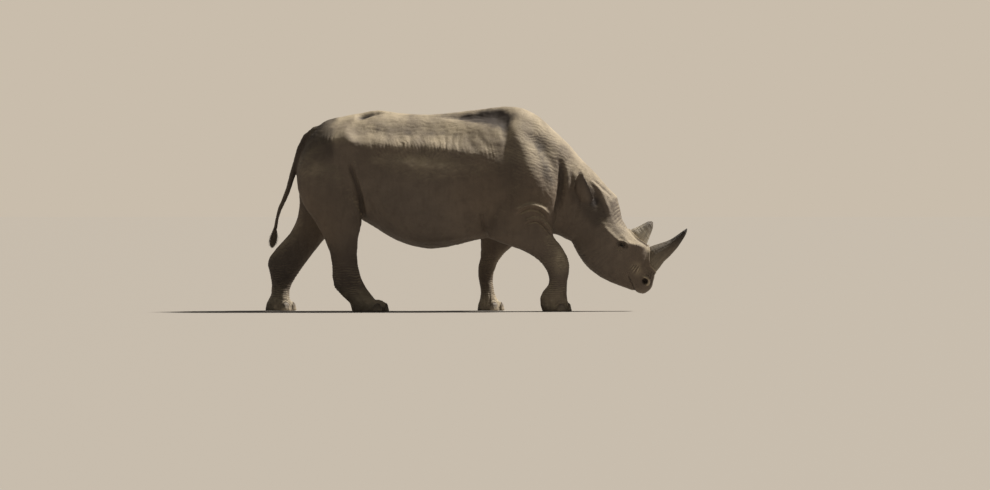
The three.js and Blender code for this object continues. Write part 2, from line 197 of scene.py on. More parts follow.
class Chance:
    """Seeded randomness that depends only on place, so every run makes the same animal."""

    TURN = np.array([[0.36, 0.48, -0.8], [-0.8, 0.6, 0.0], [0.48, 0.64, 0.6]])

    @staticmethod
    def _mix(cells: Array, salt: int) -> Array:
        """Scatters whole-number cells into numbers from 0 to 1.

        Args:
            cells: Rows of three whole numbers.
            salt: Keeps one use apart from another.

        Returns:
            One number for each row.
        """
        h = cells[:, 0] * 73856093 ^ cells[:, 1] * 19349663 ^ cells[:, 2] * 83492791
        h = (h + salt * 2654435761) & 0xFFFFFFFF
        h = ((h ^ (h >> 15)) * 2246822519) & 0xFFFFFFFF
        h = ((h ^ (h >> 13)) * 3266489917) & 0xFFFFFFFF
        return ((h ^ (h >> 16)) & 0xFFFFFF) / 0xFFFFFF

    @classmethod
    def cloud(cls, points: Array, size: float, seed: int = 0) -> Array:
        """Returns soft noise from -1 to 1.

        Args:
            points: Rows of places.
            size: About how wide each blotch is.
            seed: Picks one cloud of many.

        Returns:
            One number for each row.
        """
        q = points @ cls.TURN / size + 100.0
        cell = np.floor(q).astype(np.int64)
        f = q - cell
        f = f * f * (3 - 2 * f)
        total = np.zeros(len(points))
        for i in (0, 1):
            for j in (0, 1):
                for k in (0, 1):
                    share = (
                        (f[:, 0] if i else 1 - f[:, 0])
                        * (f[:, 1] if j else 1 - f[:, 1])
                        * (f[:, 2] if k else 1 - f[:, 2])
                    )
                    total += share * cls._mix(cell + (i, j, k), seed)
        return total * 2 - 1

    @classmethod
    def seams(cls, points: Array, size: Array, seed: int = 0) -> Array:
        """Returns how far each place lies from the seams between scattered cells.

        Args:
            points: Rows of places.
            size: Width of a cell along x, y and z.
            seed: Picks one scatter of many.

        Returns:
            About 0 on a seam and 1 in the middle of a cell, for each row.
        """
        q = points / size + 50.0
        cell = np.floor(q).astype(np.int64)
        nearest = np.full(len(points), 9.0)
        second = np.full(len(points), 9.0)
        for offset in np.ndindex(3, 3, 3):
            at = cell + np.array(offset) - 1
            spot = at + np.stack([cls._mix(at, seed * 3 + k) for k in range(3)], axis=1)
            distance = np.linalg.norm(spot - q, axis=1)
            second = np.minimum(second, np.maximum(distance, nearest))
            nearest = np.minimum(nearest, distance)
        return second - nearest


# -------- places


@dataclass(frozen=True)
class Box:
    """The room that one solid of the frame takes."""

    low: Array
    high: Array

    @classmethod
    def of(cls, node: str) -> "Box":
        """Returns the box of a node of the frame."""
        low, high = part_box(node)
        return cls(np.array(low), np.array(high))

    def at(self, along: float, across: float, up: float) -> Array:
        """Returns a place by its shares of the box's length, width and height."""
        return self.low + (self.high - self.low) * np.array((along, across, up))

    def holds(self, points: Array, margin: float) -> Array:
        """Returns which places lie in the box, or within a margin of it."""
        return np.all((points > self.low - margin) & (points < self.high + margin), axis=1)

    def rise(self, points: Array) -> Array:
        """Returns how far up the box each place lies, from 0 to 1 inside it."""
        return (points[:, 2] - self.low[2]) / self.height

    @property
    def height(self) -> float:
        """The box's height."""
        return self.high[2] - self.low[2]

    @property
    def middle(self) -> Array:
        """The middle of the box."""
        return (self.low + self.high) / 2


@dataclass(frozen=True)
class HeadFrame:
    """The head's own side view: u runs down the face from the poll, v towards the horns."""

    pitch: float = math.radians(52)
    eye_u: float = 0.372
    eye_v: float = -0.016
    slit_down: float = 0.906
    slit_up: float = 0.423

    @property
    def down(self) -> Array:
        """The direction of u."""
        return np.array((math.cos(self.pitch), 0.0, -math.sin(self.pitch)))

    @property
    def up(self) -> Array:
        """The direction of v."""
        return np.array((math.sin(self.pitch), 0.0, math.cos(self.pitch)))

    @property
    def origin(self) -> Array:
        """The poll, found from the eye."""
        eye = Box.of("eye_right").middle * (1, 0, 1)
        return eye - self.eye_u * self.down - self.eye_v * self.up

    def point(self, u: float, v: float, y: float = 0.0) -> Array:
        """Returns the place at u and v, and at y across the head."""
        return self.origin + u * self.down + v * self.up + np.array((0.0, y, 0.0))

    def read(self, points: Array) -> tuple[Array, Array]:
        """Returns the u and the v of each place."""
        offset = points - self.origin
        return offset @ self.down, offset @ self.up

    def eye_axes(self, side: Side) -> tuple[Array, Array, Array]:
        """Finds the directions that an eye's lids follow.

        Args:
            side: The eye's side.

        Returns:
            The directions along the slit, up across it, and out of the head.
        """
        out = unit(np.array((0.2, side.value, 0.03)))
        along = self.down * self.slit_down + self.up * self.slit_up
        along = unit(along - (along @ out) * out)
        rise = np.cross(along, out)
        return along, rise if rise[2] > 0 else -rise, out


# -------- shader helpers


class Graph:
    """A node tree, with short ways to add nodes and join them."""

    def __init__(self, tree: Tree) -> None:
        """Starts with an empty tree."""
        self.tree = tree
        tree.nodes.clear()

    def add(self, kind: str, feeds: dict[int | str, object] | None = None, **settings: object) -> Node:
        """Adds a shader node.

        Args:
            kind: The node's type, without its prefix.
            feeds: What goes into its inputs, by name, identifier or number.
            settings: The node's own properties.

        Returns:
            The node.
        """
        node = self.tree.nodes.new("ShaderNode" + kind)
        for name, value in settings.items():
            setattr(node, name, value)
        for key, value in (feeds or {}).items():
            self.feed(node, key, value)
        return node

    def feed(self, node: Node, key: int | str, value: object) -> None:
        """Links or sets one input.

        Args:
            node: The node that takes it.
            key: The input's number, identifier or name.
            value: Another node's output, or a plain value.
        """
        if isinstance(key, int):
            socket = node.inputs[key]
        else:
            socket = next(s for s in node.inputs if key in (s.identifier, s.name))
        if isinstance(value, bpy.types.NodeSocket):
            self.tree.links.new(value, socket)
        else:
            socket.default_value = value

    def sums(self, operation: str, a: object, b: object = 0.0, clamp: bool = False) -> object:
        """Returns the output of a Math node."""
        node = self.add("Math", {0: a, 1: b}, operation=operation, use_clamp=clamp)
        return node.outputs[0]

    def blend(self, share: object, a: object, b: object) -> object:
        """Returns two colours mixed.

        Args:
            share: How much of b.
            a: The first colour.
            b: The second colour.

        Returns:
            The mixed colour's output.
        """
        feeds = {"Factor_Float": share, "A_Color": a, "B_Color": b}
        node = self.add("Mix", feeds, data_type="RGBA")
        return next(s for s in node.outputs if s.identifier == "Result_Color")

    def spread(
        self, value: object, low: float, high: float, to: tuple[float, float] = (0.0, 1.0)
    ) -> object:
        """Returns a value carried from one range to another, held at the ends."""
        feeds = {"Value": value, "From Min": low, "From Max": high, "To Min": to[0], "To Max": to[1]}
        return self.add("MapRange", feeds, interpolation_type="SMOOTHSTEP").outputs["Result"]

    def noise(self, vector: object, scale: float, detail: float = 4.0, rough: float = 0.55) -> object:
        """Returns soft noise from 0 to 1."""
        feeds = {"Vector": vector, "Scale": scale, "Detail": detail, "Roughness": rough}
        return self.add("TexNoise", feeds).outputs[0]

    def attribute(self, name: str, part: str = "Fac") -> object:
        """Returns what the mesh stores under a name."""
        return self.add("Attribute", attribute_name=name).outputs[part]

    def vectors(self, operation: str, a: object, b: object) -> object:
        """Returns the output of a Vector Math node."""
        return self.add("VectorMath", {0: a, 1: b}, operation=operation).outputs[0]


class SharedGroups:
    """The effects that more than one material uses, each made once."""

    def __init__(self) -> None:
        """Makes the groups."""
        self.cracks = self._cracks()
        self.dust = self._dust()
        self.fibres = self._fibres()

    @staticmethod
    def _open(
        name: str, inputs: dict[str, float | None], outputs: tuple[str, ...]
    ) -> tuple[Tree, Graph, Node, Node]:
        """Starts a group.

        Args:
            name: The group's name.
            inputs: Each input's name and first value; None makes a vector.
            outputs: The names of its outputs, which are all numbers.

        Returns:
            The tree, its graph, and the nodes that stand for its inputs and its outputs.
        """
        tree = bpy.data.node_groups.new(name, "ShaderNodeTree")
        for label, value in inputs.items():
            kind = "NodeSocketVector" if value is None else "NodeSocketFloat"
            socket = tree.interface.new_socket(label, in_out="INPUT", socket_type=kind)
            if value is not None:
                socket.default_value = value
        for label in outputs:
            tree.interface.new_socket(label, in_out="OUTPUT", socket_type="NodeSocketFloat")
        graph = Graph(tree)
        entry = tree.nodes.new("NodeGroupInput")
        leave = tree.nodes.new("NodeGroupOutput")
        return tree, graph, entry, leave

    def _cracks(self) -> Tree:
        """Makes dry hide: plates parted by fine cracks.

        Returns:
            A group with Height, 1 on the plates, and Crack, 1 in the cracks.
        """
        inputs = {"Vector": None, "Plates": 70.0, "Crack Width": 0.12, "Wander": 0.01}
        tree, graph, entry, leave = self._open("hide_cracks", inputs, ("Height", "Crack"))
        stray = graph.add("TexNoise", {"Vector": entry.outputs["Vector"], "Scale": 22.0, "Detail": 3.0})
        centred = graph.vectors("SUBTRACT", stray.outputs["Color"], (0.5, 0.5, 0.5))
        moved = graph.add("VectorMath", {0: centred}, operation="SCALE")
        graph.feed(moved, "Scale", entry.outputs["Wander"])
        place = graph.vectors("ADD", entry.outputs["Vector"], moved.outputs[0])
        cells = graph.add("TexVoronoi", {"Vector": place}, feature="DISTANCE_TO_EDGE")
        graph.feed(cells, "Scale", entry.outputs["Plates"])
        rise = graph.sums("DIVIDE", cells.outputs["Distance"], entry.outputs["Crack Width"])
        plate = graph.spread(rise, 0.0, 1.0)
        graph.feed(leave, "Height", plate)
        graph.feed(leave, "Crack", graph.sums("SUBTRACT", 1.0, plate))
        return tree

    def _dust(self) -> Tree:
        """Makes dust that lies in uneven patches.

        Returns:
            A group with Veil, from 0 for bare to 1 for covered.
        """
        inputs = {"Vector": None, "Settled": 0.5, "Patches": 6.0, "Amount": 1.0}
        tree, graph, entry, leave = self._open("dust_veil", inputs, ("Veil",))
        wide = graph.add("TexNoise", {"Vector": entry.outputs["Vector"], "Detail": 5.0, "Roughness": 0.62})
        graph.feed(wide, "Scale", entry.outputs["Patches"])
        uneven = graph.spread(wide.outputs[0], 0.3, 0.7, (0.45, 1.15))
        laid = graph.sums("MULTIPLY", entry.outputs["Settled"], uneven)
        graph.feed(leave, "Veil", graph.sums("MULTIPLY", laid, entry.outputs["Amount"], clamp=True))
        return tree

    def _fibres(self) -> Tree:
        """Makes the grain of horn and nail: fibres along the vector's third axis.

        Returns:
            A group with Height and Streak, both from 0 to 1.
        """
        inputs = {"Vector": None, "Fineness": 30.0, "Length": 0.06}
        tree, graph, entry, leave = self._open("keratin_fibres", inputs, ("Height", "Streak"))
        along = graph.add("CombineXYZ", {0: 1.0, 1: 1.0})
        graph.feed(along, 2, entry.outputs["Length"])
        drawn = graph.vectors("MULTIPLY", entry.outputs["Vector"], along.outputs[0])
        fine = graph.add("TexNoise", {"Vector": drawn, "Detail": 4.0, "Roughness": 0.7})
        graph.feed(fine, "Scale", entry.outputs["Fineness"])
        broad = graph.add("TexNoise", {"Vector": drawn, "Detail": 2.0})
        graph.feed(broad, "Scale", graph.sums("MULTIPLY", entry.outputs["Fineness"], 0.22))
        graph.feed(leave, "Height", graph.spread(fine.outputs[0], 0.25, 0.75))
        graph.feed(leave, "Streak", graph.spread(broad.outputs[0], 0.35, 0.65))
        return tree


class Surfacing:
    """One material under construction: a Principled shader and what feeds it."""

    def __init__(self, name: str) -> None:
        """Starts a material with a Principled shader.

        Args:
            name: The material's name.
        """
        self.material = bpy.data.materials.new(name)
        self.material.use_nodes = True
        self.graph = Graph(self.material.node_tree)
        self.shader = self.graph.add("BsdfPrincipled")
        output = self.graph.add("OutputMaterial", {"Surface": self.shader.outputs["BSDF"]})
        output.is_active_output = True
        self.place = self.graph.add("TexCoord").outputs["Object"]

    def use(self, group: Tree, **feeds: object) -> Node:
        """Places a shared group.

        Args:
            group: The group's tree.
            feeds: Its inputs by name, with _ for a space.

        Returns:
            The group's node.
        """
        node = self.graph.add("Group", node_tree=group)
        for name, value in feeds.items():
            self.graph.feed(node, name.replace("_", " "), value)
        return node

    def finish(self, base: object, roughness: object, height: object, depth: float) -> Material:
        """Joins the last results to the shader.

        Args:
            base: The colour.
            roughness: The roughness.
            height: The relief, from 0 to 1.
            depth: How far that relief stands, in metres.

        Returns:
            The material.
        """
        bump = self.graph.add("Bump", {"Height": height, "Strength": 1.0, "Distance": depth})
        self.graph.feed(self.shader, "Base Color", base)
        self.graph.feed(self.shader, "Roughness", roughness)
        self.graph.feed(self.shader, "Normal", bump.outputs[0])
        return self.material


# -------- finishes


@dataclass(frozen=True)
class HideFinish:
    """Thick bare hide: dry, finely cracked, with dust and painted light on whatever faces the sky and
    painted shade in its hollows.
    """

    name: str = "hide"
    base: int = 0x71675E
    warm: int = 0x776756
    # Dust on what faces up, which also paints light there, and painted highlights on the muzzle.
    dusty: int = 0xBBAC92
    # Dust low on the legs, which also paints light on the feet and a patch of light on each wrist.
    sand: int = 0xB3A68E
    # Dark for blotches, runs and dirty cracks, and for all the painted shade.
    crease: int = 0x3A3330
    muzzle: int = 0x5A4D44
    roughness: float = 0.72
    moist_roughness: float = 0.5
    plates: float = 70.0
    fine_plates: float = 205.0
    blotches: float = 0.26
    runs: float = 0.2
    crack_dirt: float = 0.16
    relief: float = 0.0011

    def material(self, groups: SharedGroups) -> Material:
        """Makes the material. The mesh stores crease as painted shade, two dust layers with painted light,
        moist and warmth.

        Args:
            groups: The shared effects.

        Returns:
            The material.
        """
        s = Surfacing(self.name)
        g = s.graph
        coarse = s.use(groups.cracks, Vector=s.place, Plates=self.plates, Crack_Width=0.1, Wander=0.03)
        fine = s.use(groups.cracks, Vector=s.place, Plates=self.fine_plates, Crack_Width=0.2, Wander=0.009)
        aged = g.spread(g.noise(s.place, 8.0, 3.0), 0.36, 0.64, (0.12, 1.0))
        whole = g.spread(g.attribute("crease"), 0.98, 0.7)
        settled, soil = g.attribute("settled"), g.attribute("soil")
        # Dust and painted light on what faces up, with painted highlights on the nostril rims and the crests
        # beside the front horn.
        veil = s.use(groups.dust, Vector=s.place, Settled=settled, Patches=7.0, Amount=1.0)
        # Dust and painted light low on the legs, and a painted patch of light on the front of each wrist.
        low_dust_and_light = s.use(groups.dust, Vector=s.place, Settled=soil, Patches=26.0, Amount=0.8)
        blotch = g.spread(g.noise(s.place, 5.0, 6.0, 0.6), 0.3, 0.7)
        tint = g.blend(g.attribute("warmth"), colour(self.base), colour(self.warm))
        tint = g.blend(g.sums("MULTIPLY", blotch, self.blotches), tint, colour(self.crease))
        drawn_down = g.vectors("MULTIPLY", s.place, (1.0, 1.0, 0.22))
        hung = g.spread(g.noise(drawn_down, 24.0, 3.0), 0.45, 0.75)
        tint = g.blend(g.sums("MULTIPLY", hung, self.runs), tint, colour(self.crease))
        tint = g.blend(veil.outputs["Veil"], tint, colour(self.dusty))
        tint = g.blend(low_dust_and_light.outputs["Veil"], tint, colour(self.sand))
        tint = g.blend(g.attribute("moist"), tint, colour(self.muzzle))
        split = g.sums("MULTIPLY", coarse.outputs["Crack"], aged)
        lines = g.sums("MAXIMUM", split, g.sums("MULTIPLY", fine.outputs["Crack"], 0.5))
        tint = g.blend(g.sums("MULTIPLY", lines, self.crack_dirt), tint, colour(self.crease))
        # Painted shade, stored as crease.
        tint = g.blend(g.attribute("crease"), tint, colour(self.crease))
        grain = g.noise(s.place, 420.0, 3.0, 0.6)
        height = g.sums("SUBTRACT", g.sums("MULTIPLY", grain, 0.3), g.sums("MULTIPLY", split, 0.5))
        height = g.sums("ADD", height, g.sums("MULTIPLY", fine.outputs["Height"], 0.32))
        height = g.sums("MULTIPLY", height, whole)
        shine = g.spread(g.attribute("moist"), 0.0, 1.0, (self.roughness, self.moist_roughness))
        s.shader.inputs["Specular IOR Level"].default_value = 0.32
        return s.finish(tint, shine, height, self.relief)


@dataclass(frozen=True)
class HornFinish:
    """Horn of packed fibres, pale and frayed at the root, dark and polished at the tip."""

    name: str = "horn"
    root: int = 0x867B6A
    shaft: int = 0x6F6355
    tip: int = 0x413A35
    gap: int = 0x3A332D
    relief: float = 0.0022

    def material(self, groups: SharedGroups) -> Material:
        """Makes the material. A horn's mesh stores grain, a place in its fibres, and rise.

        Args:
            groups: The shared effects.

        Returns:
            The material.
        """
        s = Surfacing(self.name)
        g = s.graph
        rise = g.attribute("rise")
        grain = g.attribute("grain", "Vector")
        fibres = s.use(groups.fibres, Vector=grain, Fineness=11.0, Length=0.5)
        low_down = g.spread(rise, 0.75, 0.0)
        veil = s.use(groups.dust, Vector=s.place, Settled=low_down, Patches=30.0, Amount=0.4)
        tint = g.blend(g.spread(rise, 0.05, 0.5), colour(self.root), colour(self.shaft))
        tint = g.blend(g.spread(rise, 0.45, 0.95), tint, colour(self.tip))
        tint = g.blend(g.sums("MULTIPLY", fibres.outputs["Streak"], 0.32), tint, colour(self.gap))
        tint = g.blend(veil.outputs["Veil"], tint, colour(self.root))
        shine = g.spread(rise, 0.2, 1.0, (0.68, 0.5))
        return s.finish(tint, shine, fibres.outputs["Height"], self.relief)


@dataclass(frozen=True)
class NailFinish:
    """Worn nail: grey horn, chipped and sandy towards the ground."""

    name: str = "nail"
    base: int = 0x7C7165
    worn: int = 0xA99B84
    line: int = 0x40382F
    relief: float = 0.0012

    def material(self, groups: SharedGroups) -> Material:
        """Makes the material. A nail's mesh stores rise, from its ground edge to its root.

        Args:
            groups: The shared effects.

        Returns:
            The material.
        """
        s = Surfacing(self.name)
        g = s.graph
        fibres = s.use(groups.fibres, Vector=s.place, Fineness=160.0, Length=0.12)
        low_down = g.spread(g.attribute("rise"), 0.9, 0.0)
        veil = s.use(groups.dust, Vector=s.place, Settled=low_down, Patches=40.0)
        streak = g.sums("MULTIPLY", fibres.outputs["Streak"], 0.5)
        tint = g.blend(streak, colour(self.base), colour(self.line))
        tint = g.blend(veil.outputs["Veil"], tint, colour(self.worn))
        return s.finish(tint, 0.62, fibres.outputs["Height"], self.relief)


@dataclass(frozen=True)
class EyeFinish:
    """A dark wet eye: brown iris, black pupil, dull white far round."""

    name: str = "eye"
    pupil: int = 0x050404
    iris: int = 0x2A1A10
    rim: int = 0x120C09
    white: int = 0x5A4A3E
    roughness: float = 0.08

    def material(self) -> Material:
        """Makes the material. The eye's mesh stores gaze, the angle off its middle, in radians.

        Returns:
            The material.
        """
        s = Surfacing(self.name)
        g = s.graph
        gaze = g.attribute("gaze")
        flecks = g.noise(s.place, 900.0, 3.0)
        tint = g.blend(g.sums("MULTIPLY", flecks, 0.6), colour(self.iris), colour(self.rim))
        tint = g.blend(g.spread(gaze, 0.27, 0.22), tint, colour(self.pupil))
        tint = g.blend(g.spread(gaze, 0.6, 0.68), tint, colour(self.rim))
        tint = g.blend(g.spread(gaze, 0.72, 0.9), tint, colour(self.white))
        g.feed(s.shader, "Base Color", tint)
        s.shader.inputs["Roughness"].default_value = self.roughness
        s.shader.inputs["Specular IOR Level"].default_value = 0.3
        s.shader.inputs["Coat Weight"].default_value = 0.35
        s.shader.inputs["Coat Roughness"].default_value = 0.02
        return s.material


@dataclass(frozen=True)
class BristleFinish:
    """Coarse hair, grey-brown at the root and dusty at the tip."""

    name: str = "bristle"
    root: int = 0x6B6054
    tip: int = 0x9A8D7A

    def material(self, groups: SharedGroups) -> Material:
        """Makes the material. A tuft's mesh stores rise, from root to tip.

        Args:
            groups: The shared effects.

        Returns:
            The material.
        """
        s = Surfacing(self.name)
        g = s.graph
        rise = g.attribute("rise")
        veil = s.use(groups.dust, Vector=s.place, Settled=rise, Patches=60.0, Amount=0.5)
        tint = g.blend(veil.outputs["Veil"], colour(self.root), colour(self.tip))
        g.feed(s.shader, "Base Color", tint)
        s.shader.inputs["Roughness"].default_value = 0.55
        return s.material


@dataclass(frozen=True)
class FloorFinish:
    """The hall's floor: plain, pale and matt."""

    name: str = "hall_floor"
    base: int = 0xA59F97

    def material(self) -> Material:
        """Makes the material.

        Returns:
            The material.
        """
        s = Surfacing(self.name)
        s.shader.inputs["Base Color"].default_value = colour(self.base)
        s.shader.inputs["Roughness"].default_value = 0.95
        s.shader.inputs["Specular IOR Level"].default_value = 0.1
        return s.material


# -------- meshes


def store(mesh: Mesh, name: str, values: Array) -> None:
    """Keeps one number, or one vector, for each point of a mesh.

    Args:
        mesh: The mesh.
        name: What the values are called in the materials.
        values: One row for each point.
    """
    vector = values.ndim == 2
    layer = mesh.attributes.new(name, "FLOAT_VECTOR" if vector else "FLOAT", "POINT")
    layer.data.foreach_set("vector" if vector else "value", values.astype(np.float32).ravel())


def read_rows(rows: bpy.types.bpy_prop_collection, name: str) -> Array:
    """Reads a vector from each row of one of a mesh's lists.

    Args:
        rows: The list, such as the mesh's points.
        name: What is read from each row.

    Returns:
        Rows of three numbers.
    """
    flat = np.empty(len(rows) * 3, np.float32)
    rows.foreach_get(name, flat)
    return flat.reshape(-1, 3).astype(float)


def nodes_named(start: str = "") -> list[str]:
    """Returns the names of the frame's solids that begin with a word, in order."""
    return sorted(o.name for o in bpy.data.objects if o.name.startswith(start) and "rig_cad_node" in o)


def gathered(nodes: list[str]) -> tuple[list[Vector], list[tuple[int, ...]], list[str]]:
    """Gathers several solids of the frame.

    Args:
        nodes: The solids' names.

    Returns:
        Their points, their faces, and the name of the solid that each face is from.
    """
    points, faces, owners = [], [], []
    for node in nodes:
        mesh = bpy.data.objects[node].data
        faces += [tuple(len(points) + i for i in p.vertices) for p in mesh.polygons]
        owners += [node] * len(mesh.polygons)
        points += [v.co.copy() for v in mesh.vertices]
    return points, faces, owners


def make_object(name: str, mesh: Mesh, material: Material) -> Object:
    """Puts a mesh in the scene as a piece of the animal.

    Args:
        name: The piece's name.
        mesh: Its mesh, in the frame's metres.
        material: Its finish.

    Returns:
        The object, riding on the body.
    """
    piece = bpy.data.objects.new(name, mesh)
    bpy.context.scene.collection.objects.link(piece)
    mesh.materials.clear()
    mesh.materials.append(material)
    mesh.polygons.foreach_set("use_smooth", np.ones(len(mesh.polygons), bool))
    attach(piece, BODY)
    log.info("%s: %d points, %d faces", name, len(mesh.vertices), len(mesh.polygons))
    return piece


def remeshed(nodes: list[str], voxel: float) -> Mesh:
    """Draws one closed mesh over several solids of the frame.

    Args:
        nodes: The solids' names. Thin cuts between them disappear.
        voxel: The new mesh's spacing, in metres.

    Returns:
        The new mesh.
    """
    points, faces, _ = gathered(nodes)
    rough = bpy.data.meshes.new("rough")
    rough.from_pydata(points, [], faces)
    holder = bpy.data.objects.new("rough", rough)
    bpy.context.scene.collection.objects.link(holder)
    modifier = holder.modifiers.new("voxels", "REMESH")
    modifier.mode = "VOXEL"
    modifier.voxel_size = voxel
    ready = holder.evaluated_get(bpy.context.evaluated_depsgraph_get())
    mesh = bpy.data.meshes.new_from_object(ready)
    bpy.data.objects.remove(holder)
    bpy.data.meshes.remove(rough)
    return mesh


class Clay:
    """A mesh held as arrays while it is modelled.

    SMOOTH is how far one pass moves a point towards the mean of its neighbours, and SWELL is the
    pass that gives back what the first one shrank.
    """

    SMOOTH = 0.6
    SWELL = -0.62

    def __init__(self, mesh: Mesh) -> None:
        """Takes over a mesh."""
        self.mesh = mesh
        self._read()

    def _read(self) -> None:
        """Reads the points, and each point's neighbours, from the mesh."""
        self.points = read_rows(self.mesh.vertices, "co")
        count = len(self.points)
        ends = np.empty(len(self.mesh.edges) * 2, np.int32)
        self.mesh.edges.foreach_get("vertices", ends)
        ends = ends.reshape(-1, 2)
        source = np.concatenate([ends[:, 0], ends[:, 1]])
        other = np.concatenate([ends[:, 1], ends[:, 0]])
        order = np.argsort(source, kind="stable")
        source, other = source[order], other[order]
        self.valence = np.bincount(source, minlength=count)
        start = np.concatenate([[0], np.cumsum(self.valence)[:-1]])
        column = np.arange(len(source)) - start[source]
        self.neighbours = np.tile(np.arange(count)[:, None], (1, self.valence.max()))
        self.neighbours[source, column] = other

    def write(self) -> None:
        """Puts the points back in the mesh."""
        self.mesh.vertices.foreach_set("co", self.points.astype(np.float32).ravel())
        self.mesh.update()

    def normals(self) -> Array:
        """Returns each point's outward direction."""
        self.write()
        return read_rows(self.mesh.vertex_normals, "vector")

    def mean(self, values: Array, rows: Array | slice = slice(None)) -> Array:
        """Returns the mean over each point's neighbours.

        Args:
            values: One row for each point.
            rows: Which points are wanted.

        Returns:
            One row for each point wanted.
        """
        table, valence = self.neighbours[rows], self.valence[rows]
        spare = table.shape[1] - valence
        if values.ndim == 1:
            return (values[table].sum(axis=1) - spare * values[rows]) / valence
        return (values[table].sum(axis=1) - spare[:, None] * values[rows]) / valence[:, None]

    def _move(self, rows: Array, amount: float) -> None:
        """Moves points by a share of the way to the mean of their neighbours."""
        self.points[rows] += amount * (self.mean(self.points, rows) - self.points[rows])

    def soften(self, steps: Array) -> None:
        """Rounds the surface.

        Args:
            steps: How many passes each point gets.
        """
        for step in range(int(steps.max())):
            self._move(np.nonzero(steps > step)[0], self.SMOOTH)

    def polish(self, steps: int, rows: Array) -> None:
        """Takes small facets off without shrinking the form.

        Args:
            steps: How many passes.
            rows: Which points take part.
        """
        for _ in range(steps):
            self._move(rows, self.SMOOTH)
            self._move(rows, self.SWELL)

    def refine(self, chosen: Array) -> None:
        """Splits the edges between chosen points, so that the mesh is twice as fine there.

        Args:
            chosen: True for each point that is chosen.
        """
        self.write()
        work = bmesh.new()
        work.from_mesh(self.mesh)
        picked = chosen.tolist()
        edges = [e for e in work.edges if picked[e.verts[0].index] and picked[e.verts[1].index]]
        bmesh.ops.subdivide_edges(work, edges=edges, cuts=1, use_grid_fill=True)
        work.to_mesh(self.mesh)
        work.free()
        self._read()

    def raise_by(self, height: Array) -> None:
        """Moves every point along its outward direction."""
        self.points += self.normals() * height[:, None]

    def carve(self, marks: "list[Mark]") -> Array:
        """Presses marks into the clay, all of them at once.

        Args:
            marks: The marks.

        Returns:
            The height that they add at each point together.
        """
        normals = self.normals()
        height = sum(mark.relief(self.points, normals) for mark in marks)
        self.raise_by(height)
        return height


# -------- marks in the clay


class Mark:
    """One mark in the clay, which raises or lowers what lies round it."""

    def relief(self, points: Array, normals: Array) -> Array:
        """Returns the height that the mark adds at each point."""
        raise NotImplementedError


@dataclass(frozen=True)
class Mound(Mark):
    """A soft swelling over a bone or muscle, or a hollow where height is below zero."""

    centre: Array
    radii: tuple[float, float, float]
    height: float

    def relief(self, points: Array, normals: Array) -> Array:
        """Returns the height that the mound adds at each point."""
        r = (points - self.centre) / np.array(self.radii)
        return self.height * np.exp(-(r * r).sum(axis=1))


@dataclass(frozen=True)
class Fold(Mark):
    """A crease along a line in the side view, with the skin rolled up on one side of it."""

    line: Array
    width: float
    depth: float
    side: Side
    lip: float = 0.6
    inner: float = 0.0
    ends: float = 0.18
    roll: float = 1.3

    def relief(self, points: Array, normals: Array) -> Array:
        """Returns the height that the fold adds at each point.

        Args:
            points: Rows of places.
            normals: Their outward directions.

        Returns:
            One height for each point, below zero in the crease.
        """
        height = np.zeros(len(points))
        curve = through(self.line, 48)
        away = 6 * self.width
        y = points[:, 1] * self.side.value
        near = y > self.inner
        for axis, column in ((0, 0), (2, 1)):
            near &= points[:, axis] > curve[:, column].min() - away
            near &= points[:, axis] < curve[:, column].max() + away
        rows = np.nonzero(near)[0]
        if not len(rows):
            return height
        flat = points[rows][:, (0, 2)]
        offset = flat[:, None, :] - curve[None, :, :]
        best = (offset**2).sum(axis=2).argmin(axis=1)
        tangent = unit(np.gradient(curve, axis=0))[best]
        gap = offset[np.arange(len(rows)), best]
        signed = tangent[:, 0] * gap[:, 1] - tangent[:, 1] * gap[:, 0]
        t = best / (len(curve) - 1)
        fade = ramp(t, 0.0, self.ends) * ramp(t, 1.0, 1.0 - self.ends)
        facing = ramp(normals[rows, 1] * self.side.value, 0.0, 0.35)
        crease = -bell(signed, 0.0, self.width)
        top = np.sign(self.lip) * (0.6 + self.roll) * self.width
        roll = abs(self.lip) * bell(signed, top, self.roll * self.width)
        height[rows] = self.depth * (crease + roll) * fade * facing
        return height


@dataclass(frozen=True)
class Ridge(Mark):
    """A soft rise along a line in the side view, or a trough where height is below zero."""

    line: Array
    width: float
    height: float
    side: Side
    inner: float = 0.04
    ends: float = 0.22

    def relief(self, points: Array, normals: Array) -> Array:
        """Returns the height that the ridge adds at each point."""
        fold = Fold(self.line, self.width, -self.height, self.side, 0.0, self.inner, ends=self.ends)
        return fold.relief(points, normals)


@dataclass(frozen=True)
class Backbone(Mark):
    """A stretch of backbone that stands up, with a hollow down each side that deepens to one end."""

    shallow: float
    deep: float
    hollow: float
    beside: float
    width: float
    above: float

    def relief(self, points: Array, normals: Array) -> Array:
        """Returns the height that the hollows take off at each point.

        Args:
            points: Rows of places.
            normals: Their outward directions.

        Returns:
            One height for each point.
        """
        t = (points[:, 0] - self.shallow) / (self.deep - self.shallow)
        grown = 0.35 + 0.65 * np.clip(t, 0.0, 1.0)
        stretch = ramp(t, -0.1, 0.35) * ramp(t, 1.2, 0.82)
        gap = np.abs(points[:, 1]) - self.beside * (0.5 + 0.5 * grown)
        beside = bell(gap, 0.0, self.width * grown)
        on_back = ramp(normals[:, 2], 0.0, 0.4) * ramp(points[:, 2], self.above, self.above + 0.06)
        return -self.hollow * grown * stretch * beside * on_back


